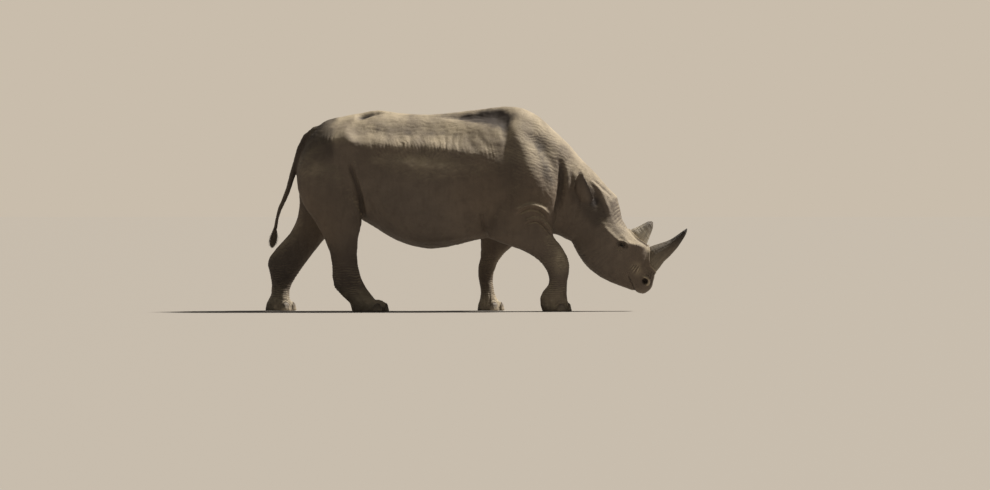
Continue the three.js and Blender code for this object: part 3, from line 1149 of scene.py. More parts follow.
@dataclass(frozen=True)
class Wrinkles(Mark):
    """A patch of small folds side by side that thins out towards its edge."""

    centre: Array
    radii: tuple[float, float, float]
    across: tuple[float, float, float]
    spacing: float
    depth: float
    wander: float
    seed: int

    def relief(self, points: Array, normals: Array) -> Array:
        """Returns the height that the wrinkles add at each point.

        Args:
            points: Rows of places.
            normals: Their outward directions.

        Returns:
            One height for each point.
        """
        height = np.zeros(len(points))
        r = ((points - self.centre) / np.array(self.radii)) ** 2
        inside = r.sum(axis=1)
        rows = np.nonzero(inside < 1)[0]
        if not len(rows):
            return height
        place = points[rows]
        stray = Chance.cloud(place, self.spacing * 3.2, self.seed)
        stray += 0.5 * Chance.cloud(place, self.spacing * 1.4, self.seed + 7)
        phase = place @ unit(self.across) / self.spacing + self.wander * stray
        groove = (0.5 + 0.5 * np.cos(2 * np.pi * phase)) ** 2.2
        broken = 0.62 + 0.38 * Chance.cloud(place, self.spacing * 2.6, self.seed + 13)
        height[rows] = -self.depth * groove * broken * ramp(inside[rows], 1.0, 0.35)
        return height


@dataclass(frozen=True)
class Rings(Mark):
    """Wrinkles that run round a point of the head, as about an eye."""

    centre: Array
    head: HeadFrame
    start: float
    reach: float
    spacing: float
    depth: float
    squash: float = 0.62
    seed: int = 5

    def relief(self, points: Array, normals: Array) -> Array:
        """Returns the height that the rings add at each point.

        Args:
            points: Rows of places.
            normals: Their outward directions.

        Returns:
            One height for each point.
        """
        height = np.zeros(len(points))
        offset = points - self.centre
        rows = np.nonzero((offset**2).sum(axis=1) < (1.5 * self.reach) ** 2)[0]
        u, v = offset[rows] @ self.head.down, offset[rows] @ self.head.up
        r = np.sqrt(u * u + (v / self.squash) ** 2)
        stray = Chance.cloud(points[rows], 0.03, self.seed)
        phase = r / self.spacing + 0.45 * stray
        groove = (0.5 + 0.5 * np.cos(2 * np.pi * phase)) ** 1.8
        fade = ramp(r, self.start, self.start * 1.3) * ramp(r, self.reach, self.reach * 0.55)
        broken = 0.7 + 0.3 * Chance.cloud(points[rows], 0.02, 9)
        height[rows] = -self.depth * groove * fade * broken
        return height


# -------- hair


class Tufts:
    """Solid tapering hairs, gathered into one mesh. PATCH is how much of the map one hair takes."""

    SIDES = 3
    RINGS = 6
    PATCH = 0.003

    def __init__(self) -> None:
        """Starts with no hair."""
        self.points: list[Array] = []
        self.rise: list[Array] = []
        self.faces: list[tuple[int, ...]] = []
        self.roots: list[Array] = []
        self.count = 0

    def grow(self, root: Array, way: Array, length: float, radius: float, bend: Array) -> None:
        """Adds one hair.

        Args:
            root: Where it leaves the skin.
            way: Its first direction.
            length: Its length.
            radius: Its half thickness at the root.
            bend: How far its tip strays from the straight.
        """
        t = np.linspace(0, 1, self.RINGS)[:, None]
        line = root + unit(way) * length * t + bend * t * t
        along = unit(np.gradient(line, axis=0))
        side = unit(np.cross(along, (0.31, 0.53, 0.79)))
        other = np.cross(along, side)
        thick = radius * (1.02 - t) ** 0.6
        start = self.count
        for k in range(self.SIDES):
            a = 2 * math.pi * k / self.SIDES
            self.points.append(line + thick * (math.cos(a) * side + math.sin(a) * other))
        n, rings = self.SIDES, self.RINGS
        for k in range(n):
            left, right = start + k * rings, start + (k + 1) % n * rings
            steps = range(rings - 1)
            self.faces += [(left + i, right + i, right + i + 1, left + i + 1) for i in steps]
        self.faces.append(tuple(start + k * rings for k in reversed(range(n))))
        self.faces.append(tuple(start + k * rings + rings - 1 for k in range(n)))
        self.rise.append(np.tile(t[:, 0], n))
        self.roots.append(root)
        self.count += n * rings

    def mesh(self, name: str, unwrap: "Unwrap") -> Mesh:
        """Makes the mesh, with a small patch of the bake map for each hair.

        Args:
            name: The mesh's name.
            unwrap: Where a place on the skin lies in the map.

        Returns:
            The mesh.
        """
        mesh = bpy.data.meshes.new(name)
        mesh.from_pydata(np.vstack(self.points).tolist(), [], self.faces)
        store(mesh, "rise", np.concatenate(self.rise))
        per_hair = self.SIDES * self.RINGS
        used = np.empty(len(mesh.loops), np.int32)
        mesh.loops.foreach_get("vertex_index", used)
        hair, local = used // per_hair, used % per_hair
        centre = unwrap.place(np.array(self.roots))[hair]
        patch = np.stack([local // self.RINGS / self.SIDES, local % self.RINGS / self.RINGS], axis=1)
        layer = mesh.uv_layers.new(name="OFBake")
        place = centre + self.PATCH * (patch - 0.5)
        layer.data.foreach_set("uv", place.astype(np.float32).ravel())
        return mesh


@dataclass(frozen=True)
class Unwrap:
    """The skin laid flat: along the body one way, and round it the other."""

    low: Array
    high: Array
    axis_height: float

    def place(self, points: Array) -> Array:
        """Finds places of the skin in the map.

        Args:
            points: Rows of places.

        Returns:
            Two coordinates from 0 to 1 for each row.
        """
        along = (points[:, 0] - self.low[0]) / (self.high[0] - self.low[0])
        turn = np.arctan2(points[:, 1], self.axis_height - points[:, 2]) / (2 * math.pi) + 0.5
        return 0.01 + 0.98 * np.stack([along, turn], axis=1)


# -------- the hide


@dataclass
class Hide:
    """The one skin over every solid of flesh, modelled in three passes."""

    head: HeadFrame
    voxel: float = 0.0065
    roundness: dict[str, float] = field(
        default_factory=lambda: {
            "trunk": 0.044,
            "neck": 0.036,
            "head": 0.014,
            "lower_jaw": 0.015,
            "upper": 0.03,
            "lower": 0.017,
            "foot": 0.006,
            "tail": 0.006,
            "ear_right": 0.004,
            "ear_left": 0.004,
        }
    )
    lid_thickness: float = 0.0032
    lid_slit: tuple[float, float, float] = (0.0185, 0.0095, 0.0075)
    lid_rim: float = 0.0016
    lid_creases: tuple[float, float] = (0.0026, 0.002)
    slit_depth: float = 0.012
    eye_dark: float = 0.72
    nostril: tuple[float, float] = (0.688, -0.038)
    nostril_rim: float = 0.011
    nostril_depth: float = 0.02
    collar_height: float = 0.007
    cuticle_height: float = 0.0032
    plate_groove: float = 0.0013
    horn_roots: tuple[tuple[float, float, float], ...] = ((0.593, 0.084, 0.07), (0.408, 0.08, 0.063))
    foot_height: float = 0.17
    margin: float = 0.0002
    flesh: list[str] = field(init=False)
    trunk: Box = field(init=False)
    neck: Box = field(init=False)
    skull: Box = field(init=False)
    owner: Array = field(init=False)
    on_ear: Array = field(init=False)
    on_tail: Array = field(init=False)
    form: Array = field(init=False)
    folds: Array = field(init=False)

    def __post_init__(self) -> None:
        """Finds the solids of flesh and their boxes."""
        apart = ("eye", "horn", "nail", "tail_tuft")
        self.flesh = [node for node in nodes_named() if not node.startswith(apart)]
        self.trunk = Box.of("trunk")
        self.neck = Box.of("neck")
        self.skull = Box.of("head")

    def build(self, material: Material) -> Object:
        """Makes the skin.

        Args:
            material: The hide's finish.

        Returns:
            The skin's object, which stands for every solid of flesh.
        """
        clay = Clay(remeshed([*self.flesh, *EYES], self.voxel))
        log.info("hide: drawn over %d solids", len(self.flesh))
        self._round(clay)
        self._divide(clay)
        self._find_parts(clay)
        self._model_forms(clay)
        self._model_folds(clay)
        fine = self._model_wrinkles(clay)
        self._open_eyes(clay)
        self._settle(clay)
        self._paint(clay, fine)
        skin = make_object("skin", clay.mesh, material)
        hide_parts(*self.flesh)
        return skin

    def _nearest(self, points: Array) -> list[str]:
        """Finds the solid of flesh that lies nearest to each place.

        Args:
            points: Rows of places.

        Returns:
            One solid's name for each row.
        """
        solid_points, faces, owners = gathered(self.flesh)
        tree = BVHTree.FromPolygons(solid_points, faces)
        return [owners[tree.find_nearest(Vector(p))[2]] for p in points]

    def _round(self, clay: Clay) -> None:
        """Rounds the facets off, more on the trunk than on the head and feet.

        Args:
            clay: The skin as it was drawn over the solids.
        """
        self.owner = np.array(self._nearest(clay.points))
        reach = np.zeros(len(clay.points))
        for node in self.flesh:
            key = node if node in self.roundness else node.split("_")[-1]
            reach[self.owner == node] = self.roundness[key]
        thin = np.char.startswith(self.owner, "ear")
        for _ in range(60):
            reach = 0.4 * reach + 0.6 * clay.mean(reach)
            reach[thin] = np.minimum(reach[thin], self.roundness["ear_right"])
        before = clay.points.copy()
        clay.soften(np.round(2 * (reach / self.voxel) ** 2 / clay.SMOOTH))
        clay.points += self._lost_bulk(clay, before, reach)
        clay.polish(12, np.nonzero(thin)[0])
        clay.polish(6, np.arange(len(clay.points)))

    def _lost_bulk(self, clay: Clay, before: Array, reach: Array) -> Array:
        """Finds how far rounding has pulled the whole form in, without its corners.

        Args:
            clay: The rounded skin.
            before: Its points before it was rounded.
            reach: How far each point was rounded, in metres.

        Returns:
            The offset that gives each point its bulk back.
        """
        lost = before - clay.points
        for _ in range(70):
            lost = 0.3 * lost + 0.7 * clay.mean(lost)
        return lost * ramp(reach, 0.004, 0.012)[:, None]

    def _divide(self, clay: Clay) -> None:
        """Makes the mesh finer on the head, the lower legs and the feet, and finest at the eyes.

        Args:
            clay: The rounded skin.
        """
        owner = self.owner
        fine = np.isin(owner, ["head", "lower_jaw", "tail", "ear_right", "ear_left"])
        fine |= np.char.endswith(owner, "foot") | np.char.endswith(owner, "lower")
        clay.refine(fine)
        clay.polish(3, np.arange(len(clay.points)))
        close = np.zeros(len(clay.points), bool)
        for node in EYES:
            close |= np.linalg.norm(clay.points - Box.of(node).middle, axis=1) < 0.062
        u, v = self.head.read(clay.points)
        close |= (u > 0.55) & (v < 0.04) & (np.abs(clay.points[:, 1]) < 0.13)
        clay.refine(close)
        clay.polish(3, np.nonzero(self._near_head(clay.points))[0])

    def _near_head(self, points: Array) -> Array:
        """Returns which places lie on the head."""
        u, _ = self.head.read(points)
        return (u > 0.1) & (points[:, 0] > self.skull.low[0])

    def _find_parts(self, clay: Clay) -> None:
        """Notes which points belong to the ears and which to the tail.

        Args:
            clay: The skin.
        """
        self.on_ear = np.zeros(len(clay.points), bool)
        self.on_tail = np.zeros(len(clay.points), bool)
        for node in ("ear_right", "ear_left", "tail"):
            rows = np.nonzero(Box.of(node).holds(clay.points, 0.004))[0]
            mine = rows[np.array(self._nearest(clay.points[rows])) == node]
            (self.on_tail if node == "tail" else self.on_ear)[mine] = True

    def _side_line(self, *shares: tuple[float, float], box: Box | None = None) -> Array:
        """Returns a line in the side view from shares of a box, the trunk's unless one is given."""
        room = box or self.trunk
        return np.array([room.at(x, 0, z)[[0, 2]] for x, z in shares])

    def _face_line(self, *spots: tuple[float, float]) -> Array:
        """Returns a line in the side view from places in the head's frame."""
        return np.array([self.head.point(u, v)[[0, 2]] for u, v in spots])

    def _model_forms(self, clay: Clay) -> None:
        """Adds bones and muscles under the hide.

        Args:
            clay: The skin.
        """
        t, h, line, face = self.trunk, self.head, self._side_line, self._face_line
        rib_edge = line(
            (0.09, 0.757), (0.17, 0.745), (0.24, 0.727), (0.35, 0.72),
            (0.48, 0.718), (0.572, 0.688), (0.665, 0.663), (0.75, 0.69),
        )
        under_spine = line((0.22, 0.84), (0.35, 0.825), (0.5, 0.82), (0.62, 0.81), (0.7, 0.81))
        blade = line((0.797, 0.905), (0.834, 0.726), (0.862, 0.55), (0.9, 0.375))
        behind_blade = line((0.778, 0.93), (0.783, 0.83), (0.79, 0.72), (0.78, 0.6))
        before_blade = line((0.885, 0.83), (0.915, 0.69), (0.94, 0.52), (0.955, 0.36))
        hip = line((0.162, 0.87), (0.186, 0.79), (0.205, 0.72), (0.22, 0.66))
        cheekbone = face(
            (0.15, -0.03), (0.25, -0.028), (0.326, -0.01), (0.37, 0.018),
            (0.41, 0.045), (0.45, 0.08), (0.5, 0.112),
        )
        temple = face((-0.1, 0.045), (-0.02, 0.055), (0.06, 0.035), (0.12, 0.0), (0.15, -0.03))
        temple_edge = face((-0.17, 0.098), (-0.08, 0.108), (0.0, 0.105), (0.09, 0.078), (0.165, 0.045))
        above = t.at(0, 0, 0.7)[2]
        # Where each hollow starts and is deepest, its depth, its way out from the spine, its width.
        marks: list[Mark] = [
            Backbone(t.at(0.53, 0, 0)[0], t.at(0.785, 0, 0)[0], 0.05, 0.112, 0.07, above),
            Backbone(t.at(0.33, 0, 0)[0], t.at(0.232, 0, 0)[0], 0.036, 0.085, 0.046, above),
        ]
        # Each ridge has its line, its width and its height, and each mound its place, radii and height.
        for side in Side:
            y = 0.5 + 0.5 * side.value
            marks += [
                Ridge(rib_edge, 0.052, 0.016, side, ends=0.12),
                Ridge(under_spine, 0.05, -0.009, side),
                Ridge(blade, 0.062, 0.02, side, ends=0.3),
                Ridge(behind_blade, 0.04, -0.014, side, ends=0.3),
                Ridge(before_blade, 0.06, -0.016, side, ends=0.3),
                Ridge(hip, 0.055, 0.024, side, ends=0.4),
                Ridge(cheekbone, 0.02, 0.011, side, ends=0.12),
                Ridge(temple, 0.04, -0.012, side, ends=0.3),
                Ridge(temple_edge, 0.017, 0.009, side, ends=0.3),
                Mound(t.at(0.1, y, 0.45), (0.14, 0.14, 0.24), 0.012),
                Mound(t.at(0.62, y, 0.5), (0.1, 0.2, 0.3), -0.008),
                Mound(h.point(0.47, -0.09, side.value * 0.13), (0.07, 0.06, 0.05), -0.006),
            ]
        self.form = clay.carve(marks)

    def _model_folds(self, clay: Clay) -> None:
        """Adds the deep folds where the legs, the neck and the jaw meet the body.

        Args:
            clay: The skin.
        """
        line, face = self._side_line, self._face_line
        flank = line(
            (0.195, 0.62), (0.213, 0.516), (0.228, 0.432), (0.239, 0.361), (0.247, 0.284), (0.252, 0.2)
        )
        neck = line((0.975, 0.66), (0.985, 0.59), (0.99, 0.5), (0.984, 0.38), (0.968, 0.26), (0.945, 0.15))
        arm_upper = line(
            (0.815, 0.225), (0.84, 0.258), (0.87, 0.28), (0.9, 0.272), (0.925, 0.235), (0.94, 0.19)
        )
        arm_lower = line(
            (0.85, 0.165), (0.872, 0.186), (0.895, 0.192), (0.915, 0.17), (0.937, 0.125), (0.955, 0.07)
        )
        elbow = line((0.688, 0.25), (0.692, 0.2), (0.699, 0.09))
        nape = line((0.4, 0.62), (0.44, 0.5), (0.43, 0.38), (0.38, 0.26), box=self.neck)
        throat = line((0.62, 0.42), (0.6, 0.28), (0.52, 0.14), box=self.neck)
        crown = face((-0.16, 0.118), (-0.07, 0.135), (0.0, 0.15), (0.04, 0.15))
        upper_lid = face((0.333, -0.03), (0.348, -0.003), (0.37, 0.013), (0.398, 0.016), (0.415, 0.008))
        lower_lid = face((0.338, -0.046), (0.36, -0.053), (0.386, -0.046), (0.41, -0.026))
        marks: list[Mark] = []
        # Each fold has its line, its width and its depth; lip is how far the skin rolls up beside it.
        for side in Side:
            # The right fore leg reaches forward, so only its arm bunches the skin up.
            bunched = 1.0 if side is Side.RIGHT else 0.3
            marks += [
                Fold(flank, 0.016, 0.022, side, lip=0.7, inner=0.12),
                Fold(neck, 0.022, 0.026, side, lip=0.3, inner=0.08, ends=0.42),
                Fold(arm_upper, 0.012, 0.017 * bunched, side, lip=1.25, inner=0.1, ends=0.3, roll=1.35),
                Fold(arm_lower, 0.01, 0.015 * bunched, side, lip=1.25, inner=0.1, ends=0.3, roll=1.3),
                Fold(crown, 0.009, 0.0045, side, lip=-0.8, inner=0.04),
                Fold(elbow, 0.014, 0.012, side, lip=0.4, inner=0.16),
                Fold(nape, 0.016, 0.005, side, lip=0.5, inner=0.05),
                Fold(throat, 0.016, 0.005, side, lip=0.5, inner=0.05),
                Fold(upper_lid, 0.0055, 0.008, side, lip=0.5, inner=0.08),
                Fold(lower_lid, 0.004, 0.004, side, lip=-0.5, inner=0.08),
            ]
        self.folds = clay.carve(marks)

    def _wrinkle_patches(self) -> list[Wrinkles]:
        """Lists every patch of small folds.

        Returns:
            The patches: place, radii, the way across the folds, spacing, depth, wander and seed.
        """
        t, n, h = self.trunk, self.neck, self.head
        down, slanting = tuple(h.down), tuple(0.8 * h.down + 0.6 * h.up)
        lengthwise, upright = (1.0, 0.0, 0.0), (0.0, 0.0, 1.0)
        patches = [
            Wrinkles(n.middle, (0.2, 0.4, 0.5), (1.0, 0.0, -0.55), 0.04, 0.0016, 0.8, 2),
            Wrinkles(t.at(0.95, 0.5, 0.35), (0.2, 0.5, 0.3), (1.0, 0.0, 0.1), 0.034, 0.0018, 0.8, 3),
            Wrinkles(t.at(0.42, 0.5, 0.69), (0.62, 0.6, 0.11), (1.0, 0.0, 0.3), 0.024, 0.0032, 0.8, 4),
            Wrinkles(t.at(0.5, 0.5, 0.72), (0.7, 0.6, 0.12), (1.0, 0.0, 0.1), 0.085, 0.005, 0.9, 24),
            Wrinkles(t.at(0.47, 0.5, 0.87), (0.75, 0.4, 0.16), (0.0, 0.3, 1.0), 0.034, 0.0015, 0.75, 5),
            Wrinkles(t.at(0.9, 0.5, 0.62), (0.3, 0.6, 0.42), (0.3, 0.0, 1.0), 0.024, 0.0018, 0.9, 25),
            Wrinkles(t.at(0.24, 0.5, 0.25), (0.22, 0.5, 0.3), (1.0, 0.0, 0.25), 0.03, 0.0024, 0.7, 6),
            Wrinkles(t.at(0.66, 0.5, 0.1), (0.22, 0.5, 0.22), (0.8, 0.0, 0.5), 0.032, 0.0022, 0.7, 7),
            Wrinkles(t.at(0.05, 0.5, 0.7), (0.2, 0.3, 0.3), (0.2, 0.0, 1.0), 0.034, 0.0016, 0.7, 8),
            Wrinkles(t.at(0.5, 0.5, 0.0), (0.6, 0.36, 0.16), (0.0, 1.0, 0.0), 0.05, 0.003, 0.6, 9),
            Wrinkles(h.point(0.28, -0.27), (0.24, 0.3, 0.16), down, 0.03, 0.0028, 0.7, 10),
            Wrinkles(h.point(0.2, 0.1), (0.2, 0.16, 0.14), down, 0.024, 0.0022, 0.6, 11),
            Wrinkles(h.point(0.45, 0.04), (0.055, 0.3, 0.07), lengthwise, 0.017, 0.004, 0.4, 12),
            Wrinkles(h.point(0.57, -0.046), (0.05, 0.3, 0.04), (1.0, 0.0, -0.6), 0.018, 0.005, 0.35, 22),
            Wrinkles(h.point(0.7, 0.015), (0.065, 0.2, 0.065), slanting, 0.018, 0.0075, 0.25, 13),
            Wrinkles(h.point(0.72, -0.09), (0.07, 0.2, 0.06), down, 0.012, 0.0018, 0.5, 14),
            Wrinkles(h.point(0.54, -0.14), (0.09, 0.3, 0.07), down, 0.015, 0.0022, 0.6, 15),
        ]
        for side in Side:
            fore = Box.of(f"leg_fore_{side.word}_lower")
            hind = Box.of(f"leg_hind_{side.word}_lower")
            toes = Box.of(f"leg_fore_{side.word}_foot")
            ear = Box.of(f"ear_{side.word}")
            patches += [
                Wrinkles(fore.at(0.75, 0.5, 0.62), (0.17, 0.2, 0.16), upright, 0.017, 0.0036, 0.5, 16),
                Wrinkles(fore.at(0.6, 0.5, 0.1), (0.2, 0.2, 0.08), upright, 0.015, 0.0032, 0.5, 17),
                Wrinkles(toes.at(0.6, 0.5, 0.5), (0.16, 0.2, 0.1), lengthwise, 0.036, 0.005, 0.35, 23),
                Wrinkles(hind.at(0.4, 0.5, 0.3), (0.2, 0.2, 0.14), upright, 0.019, 0.0034, 0.5, 18),
                Wrinkles(hind.at(0.3, 0.5, 0.02), (0.2, 0.2, 0.08), upright, 0.015, 0.0032, 0.5, 19),
                Wrinkles(ear.at(0.4, 0.5, 0.05), (0.1, 0.1, 0.08), upright, 0.013, 0.0024, 0.5, 20),
            ]
        tail = Box.of("tail")
        patches.append(Wrinkles(tail.at(0.2, 0.5, 0.25), (0.4, 0.1, 0.45), upright, 0.012, 0.0016, 0.3, 21))
        return patches

    def _model_wrinkles(self, clay: Clay) -> Array:
        """Adds wrinkles, the network of the hide, nostrils and the line of the mouth.

        Args:
            clay: The skin.

        Returns:
            The height of the fine relief at each point.
        """
        points, normals = clay.points, clay.normals()
        height = np.zeros(len(points))
        for patch in self._wrinkle_patches():
            height += patch.relief(points, normals)
        seams = Chance.seams(points, np.array((0.062, 0.062, 0.045)), 3)
        worn = 0.6 + 0.4 * Chance.cloud(points, 0.35, 31)
        face = self._near_head(points)
        upper = ramp(points[:, 2], self.trunk.at(0, 0, 0.62)[2], self.trunk.at(0, 0, 0.78)[2])
        height -= self.plate_groove * worn * bell(seams, 0.0, 0.13) * np.where(face, 0.6, 1.0 - 0.55 * upper)
        leather = 0.0016 * Chance.cloud(points, 0.05, 41) + 0.0008 * Chance.cloud(points, 0.021, 43)
        height += leather * np.where(face, 0.5, 1.0)
        for node in EYES:
            ring = Rings(Box.of(node).middle, self.head, 0.036, 0.085, 0.0115, 0.0014)
            height += ring.relief(points, normals)
        height[self.on_ear] *= 0.12
        height += self._nostrils(points) + self._horn_collars(points) + self._cuticles(points)
        height += self._mouth(points, normals)
        clay.raise_by(height)
        return height

    def _nostrils(self, points: Array) -> Array:
        """Shapes the nostrils, whose raised rims are thickest above and in front.

        Args:
            points: The skin's points.

        Returns:
            One height for each point.
        """
        height = np.zeros(len(points))
        for side in Side:
            offset = points - self.head.point(*self.nostril, side.value * 0.1)
            a, b = offset @ self.head.down, offset @ self.head.up
            q = np.hypot(a, b * 1.1)
            beside = ramp(points[:, 1] * side.value, 0.02, 0.05)
            above = ramp((b + 0.4 * a) / np.maximum(q, 1e-6), -0.5, 0.7)
            height += self.nostril_rim * bell(q, 0.031, 0.01) * beside * (0.2 + 0.8 * above)
            hole = np.hypot((a + 0.3 * b) / 1.25, b + 0.003)
            deep = self.nostril_depth * ramp(hole, 0.016, 0.005)
            height -= (0.008 * ramp(q, 0.027, 0.012) + deep) * beside
            height -= 0.003 * bell(q, 0.048, 0.006) * beside * ramp(b, -0.01, 0.02)
        return height

    def _horn_collars(self, points: Array) -> Array:
        """Shapes the skin that swells up round the root of each horn.

        Args:
            points: The skin's points.

        Returns:
            One height for each point.
        """
        u, v = self.head.read(points)
        height = np.zeros(len(points))
        for middle, long, wide in self.horn_roots:
            e = np.hypot((u - middle) / long, points[:, 1] / wide)
            height += self.collar_height * bell(e, 1.13, 0.075) - 0.003 * bell(e, 1.36, 0.07)
        return height * ramp(v, 0.0, 0.05) * ramp(u, 0.2, 0.3)

    def _cuticles(self, points: Array) -> Array:
        """Shapes the skin that rolls up against each nail.

        Args:
            points: The skin's points.

        Returns:
            One height for each point.
        """
        nail_points, faces, _ = gathered(nodes_named("nail_"))
        tree = BVHTree.FromPolygons(nail_points, faces)
        height = np.zeros(len(points))
        rows = np.nonzero(points[:, 2] < self.foot_height)[0]
        far = np.array([tree.find_nearest(Vector(p))[3] for p in points[rows]])
        height[rows] = self.cuticle_height * bell(far, 0.005, 0.0045) - 0.002 * bell(far, 0.017, 0.004)
        return height

    def _mouth(self, points: Array, normals: Array) -> Array:
        """Shapes the crease of the mouth, and the notch where the upper lip passes the lower.

        Args:
            points: The skin's points.
            normals: Their outward directions.

        Returns:
            One height for each point.
        """
        line = self._face_line(
            (0.572, -0.106), (0.605, -0.117), (0.645, -0.126), (0.685, -0.137), (0.715, -0.152)
        )
        notch = Mound(self.head.point(0.706, -0.15), (0.016, 0.1, 0.016), -0.009)
        return notch.relief(points, normals) + sum(
            Fold(line, 0.005, 0.0075, side, lip=0.45, ends=0.2).relief(points, normals) for side in Side
        )

    def _open_eyes(self, clay: Clay) -> None:
        """Lays lids over each eyeball and opens a slit between them.

        Args:
            clay: The skin.
        """
        half, above, below = self.lid_slit
        crease_above, crease_below = self.lid_creases
        for side in Side:
            box = Box.of(f"eye_{side.word}")
            ball = box.height / 2
            along, rise, out = self.head.eye_axes(side)
            offset = clay.points - box.middle
            rows = np.nonzero(((offset**2).sum(axis=1) < 0.06**2) & (offset @ out > -0.004))[0]
            a, b, c = (offset[rows] @ axis for axis in (along, rise, out))
            r2 = a * a + b * b
            shell = ball + self.lid_thickness
            cover = np.sqrt(np.maximum(shell**2 - r2, 0.0))
            hug = ramp(np.sqrt(r2), shell * 1.25, shell * 0.7)
            c = c + hug * (cover - c)
            upper = above * (1 - (a / half) ** 2)
            lower = -below * (1 - (a / half) ** 2)
            edge = np.minimum(upper - b, b - lower)
            rim = self.lid_rim * bell(edge, -0.0022, 0.002) * ramp(np.abs(a), half * 1.4, half)
            fold_above = -crease_above * bell(b - above * 1.75 + 6 * a * a, 0.0, 0.0022)
            fold_below = -crease_below * bell(b + below * 2.1 - 6 * a * a, 0.0, 0.002)
            width = ramp(np.abs(a), half * 1.7, half * 0.9)
            c += rim + (fold_above + fold_below) * width
            c -= ramp(edge, -0.0004, 0.0018) * self.slit_depth
            clay.points[rows] = box.middle + a[:, None] * along + b[:, None] * rise + c[:, None] * out

    def _settle(self, clay: Clay) -> None:
        """Keeps the skin inside the solids' box and flat on the floor.

        Args:
            clay: The skin.
        """
        low, high = (np.array(corner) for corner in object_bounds())
        clay.points = np.clip(clay.points, low + self.margin, high - self.margin)
        clay.write()

    def _paint(self, clay: Clay, fine: Array) -> None:
        """Stores what the finish needs to know about each point.

        Args:
            clay: The finished skin.
            fine: The height of the fine relief.
        """
        points, normals = clay.points, clay.normals()
        u, v = self.head.read(points)
        on_head = self._near_head(points)
        # Dust, and painted light, on what faces up.
        settled = ramp(normals[:, 2], -0.02, 0.6) * (0.8 + 0.2 * Chance.cloud(points, 0.2, 51))
        # Painted highlight on the raised nostril rims and the raised relief at the front of the muzzle.
        rim = np.where(on_head, ramp(u, 0.6, 0.66) * ramp(fine, 0.002, 0.007), 0.0)
        # Painted highlight on the wrinkle crests beside the front horn.
        beside_horn = np.exp(-(((u - 0.575) / 0.04) ** 2) - ((v + 0.03) / 0.035) ** 2)
        painted_crest_light = np.where(on_head, 0.95 * (beside_horn * ramp(fine, -0.0016, 0.0004)), 0.0)
        # Dust low on the legs, thick enough to paint light on the feet.
        soil = ramp(points[:, 2], 0.22, 0.05) * (0.66 + 0.34 * Chance.cloud(points, 0.05, 61))
        warmth = 0.5 + 0.5 * Chance.cloud(points, 0.45, 71) - 0.3 * ramp(normals[:, 2], 0.0, 0.8)
        layers = {
            # crease holds the painted shade, with the darker tail and lower legs.
            "crease": self._darkness(points, normals, fine),
            "settled": np.maximum(settled, np.maximum(0.85 * rim, painted_crest_light)),
            "soil": np.maximum(soil, self._dusty_wrists(points)),
            "moist": np.where(on_head, ramp(u, 0.62, 0.72) * 0.5, 0.0) * (1 - 0.9 * rim),
            "warmth": warmth,
        }
        for name, values in layers.items():
            store(clay.mesh, name, np.clip(values, 0, 1))

    def _darkness(self, points: Array, normals: Array, fine: Array) -> Array:
        """Finds how dark each point is painted, mostly as painted shade, from whatever darkens it most.

        Args:
            points: The skin's points.
            normals: Their outward directions.
            fine: The height of the fine relief.

        Returns:
            0 for no darkening to 1 for the bottom of a fold, for each point.
        """
        # Noise that makes the edges of the painted shade in the hollows ragged.
        ragged_shade_edge = 0.009 * Chance.cloud(points, 0.07, 57) + 0.004 * Chance.cloud(points, 0.022, 59)
        outward = ramp(normals[:, 1] * np.sign(points[:, 1]), -0.22, 0.42)
        # The legs get darker towards the ground, less so in front, and not on the head.
        shank = ramp(points[:, 2], 0.62, 0.3) * (0.36 + 0.14 * Chance.cloud(points, 0.09, 58))
        shank *= np.where(points[:, 0] > 0, 0.6, 1.0)
        shank *= np.where(self._near_head(points), 0.0, ramp(points[:, 2], 0.07, 0.2))
        darks = [
            # Painted shade in the wrinkle grooves, the folds and the hollows; in the hollows most on slopes
            # that face out to the side.
            0.5 * ramp(fine, -0.0012, -0.008),
            0.5 * ramp(self.folds, -0.003, -0.02),
            (0.18 + 0.76 * outward) * ramp(self.form + ragged_shade_edge, -0.003, -0.028),
            # The tail is darker all over.
            np.where(self.on_tail, 0.45, 0.0),
            self._temple_shade(points),
            self._mud_shade(points),
            self._face_shade(points),
            self._ear_shade(points),
            shank,
        ]
        return np.maximum.reduce(darks)

    def _face_shade(self, points: Array) -> Array:
        """Finds the painted shade in the nostrils and on the skin about the eyes.

        Args:
            points: The skin's points.

        Returns:
            One number from 0 to 1 for each point.
        """
        shade = np.zeros(len(points))
        for side in Side:
            hole = self.head.point(*self.nostril, side.value * 0.085)
            shade = np.maximum(shade, ramp(np.linalg.norm(points - hole, axis=1), 0.033, 0.012))
            along, rise, out = self.head.eye_axes(side)
            offset = points - Box.of(f"eye_{side.word}").middle - 0.006 * rise
            radii = ((along, 0.052), (rise, 0.021), (out, 0.05))
            reach = np.sqrt(sum((offset @ axis / radius) ** 2 for axis, radius in radii))
            shade = np.maximum(shade, self.eye_dark * ramp(reach, 1.35, 0.45))
        return shade

    def _temple_shade(self, points: Array) -> Array:
        """Finds the painted shade in the hollow of each temple and in the notch before each ear.

        Args:
            points: The skin's points.

        Returns:
            One number from 0 to 1 for each point.
        """
        u, v = self.head.read(points)
        edge = np.interp(u, (-0.17, -0.08, 0.0, 0.09, 0.165), (0.084, 0.092, 0.088, 0.06, 0.028))
        below = ramp(v + 0.006 * Chance.cloud(points, 0.03, 91), edge + 0.004, edge - 0.02)
        along = ramp(u, 0.17, 0.135) * ramp(u, -0.2, -0.12) * ramp(v, -0.12, -0.06)
        notch = ramp(np.hypot((u + 0.008) / 0.045, (v - 0.026) / 0.055), 1.25, 0.4)
        shade = np.maximum(0.5 * below * along, 0.95 * notch)
        return shade * ramp(np.abs(points[:, 1]), 0.05, 0.08) * np.where(self.on_ear, 0.0, 1.0)

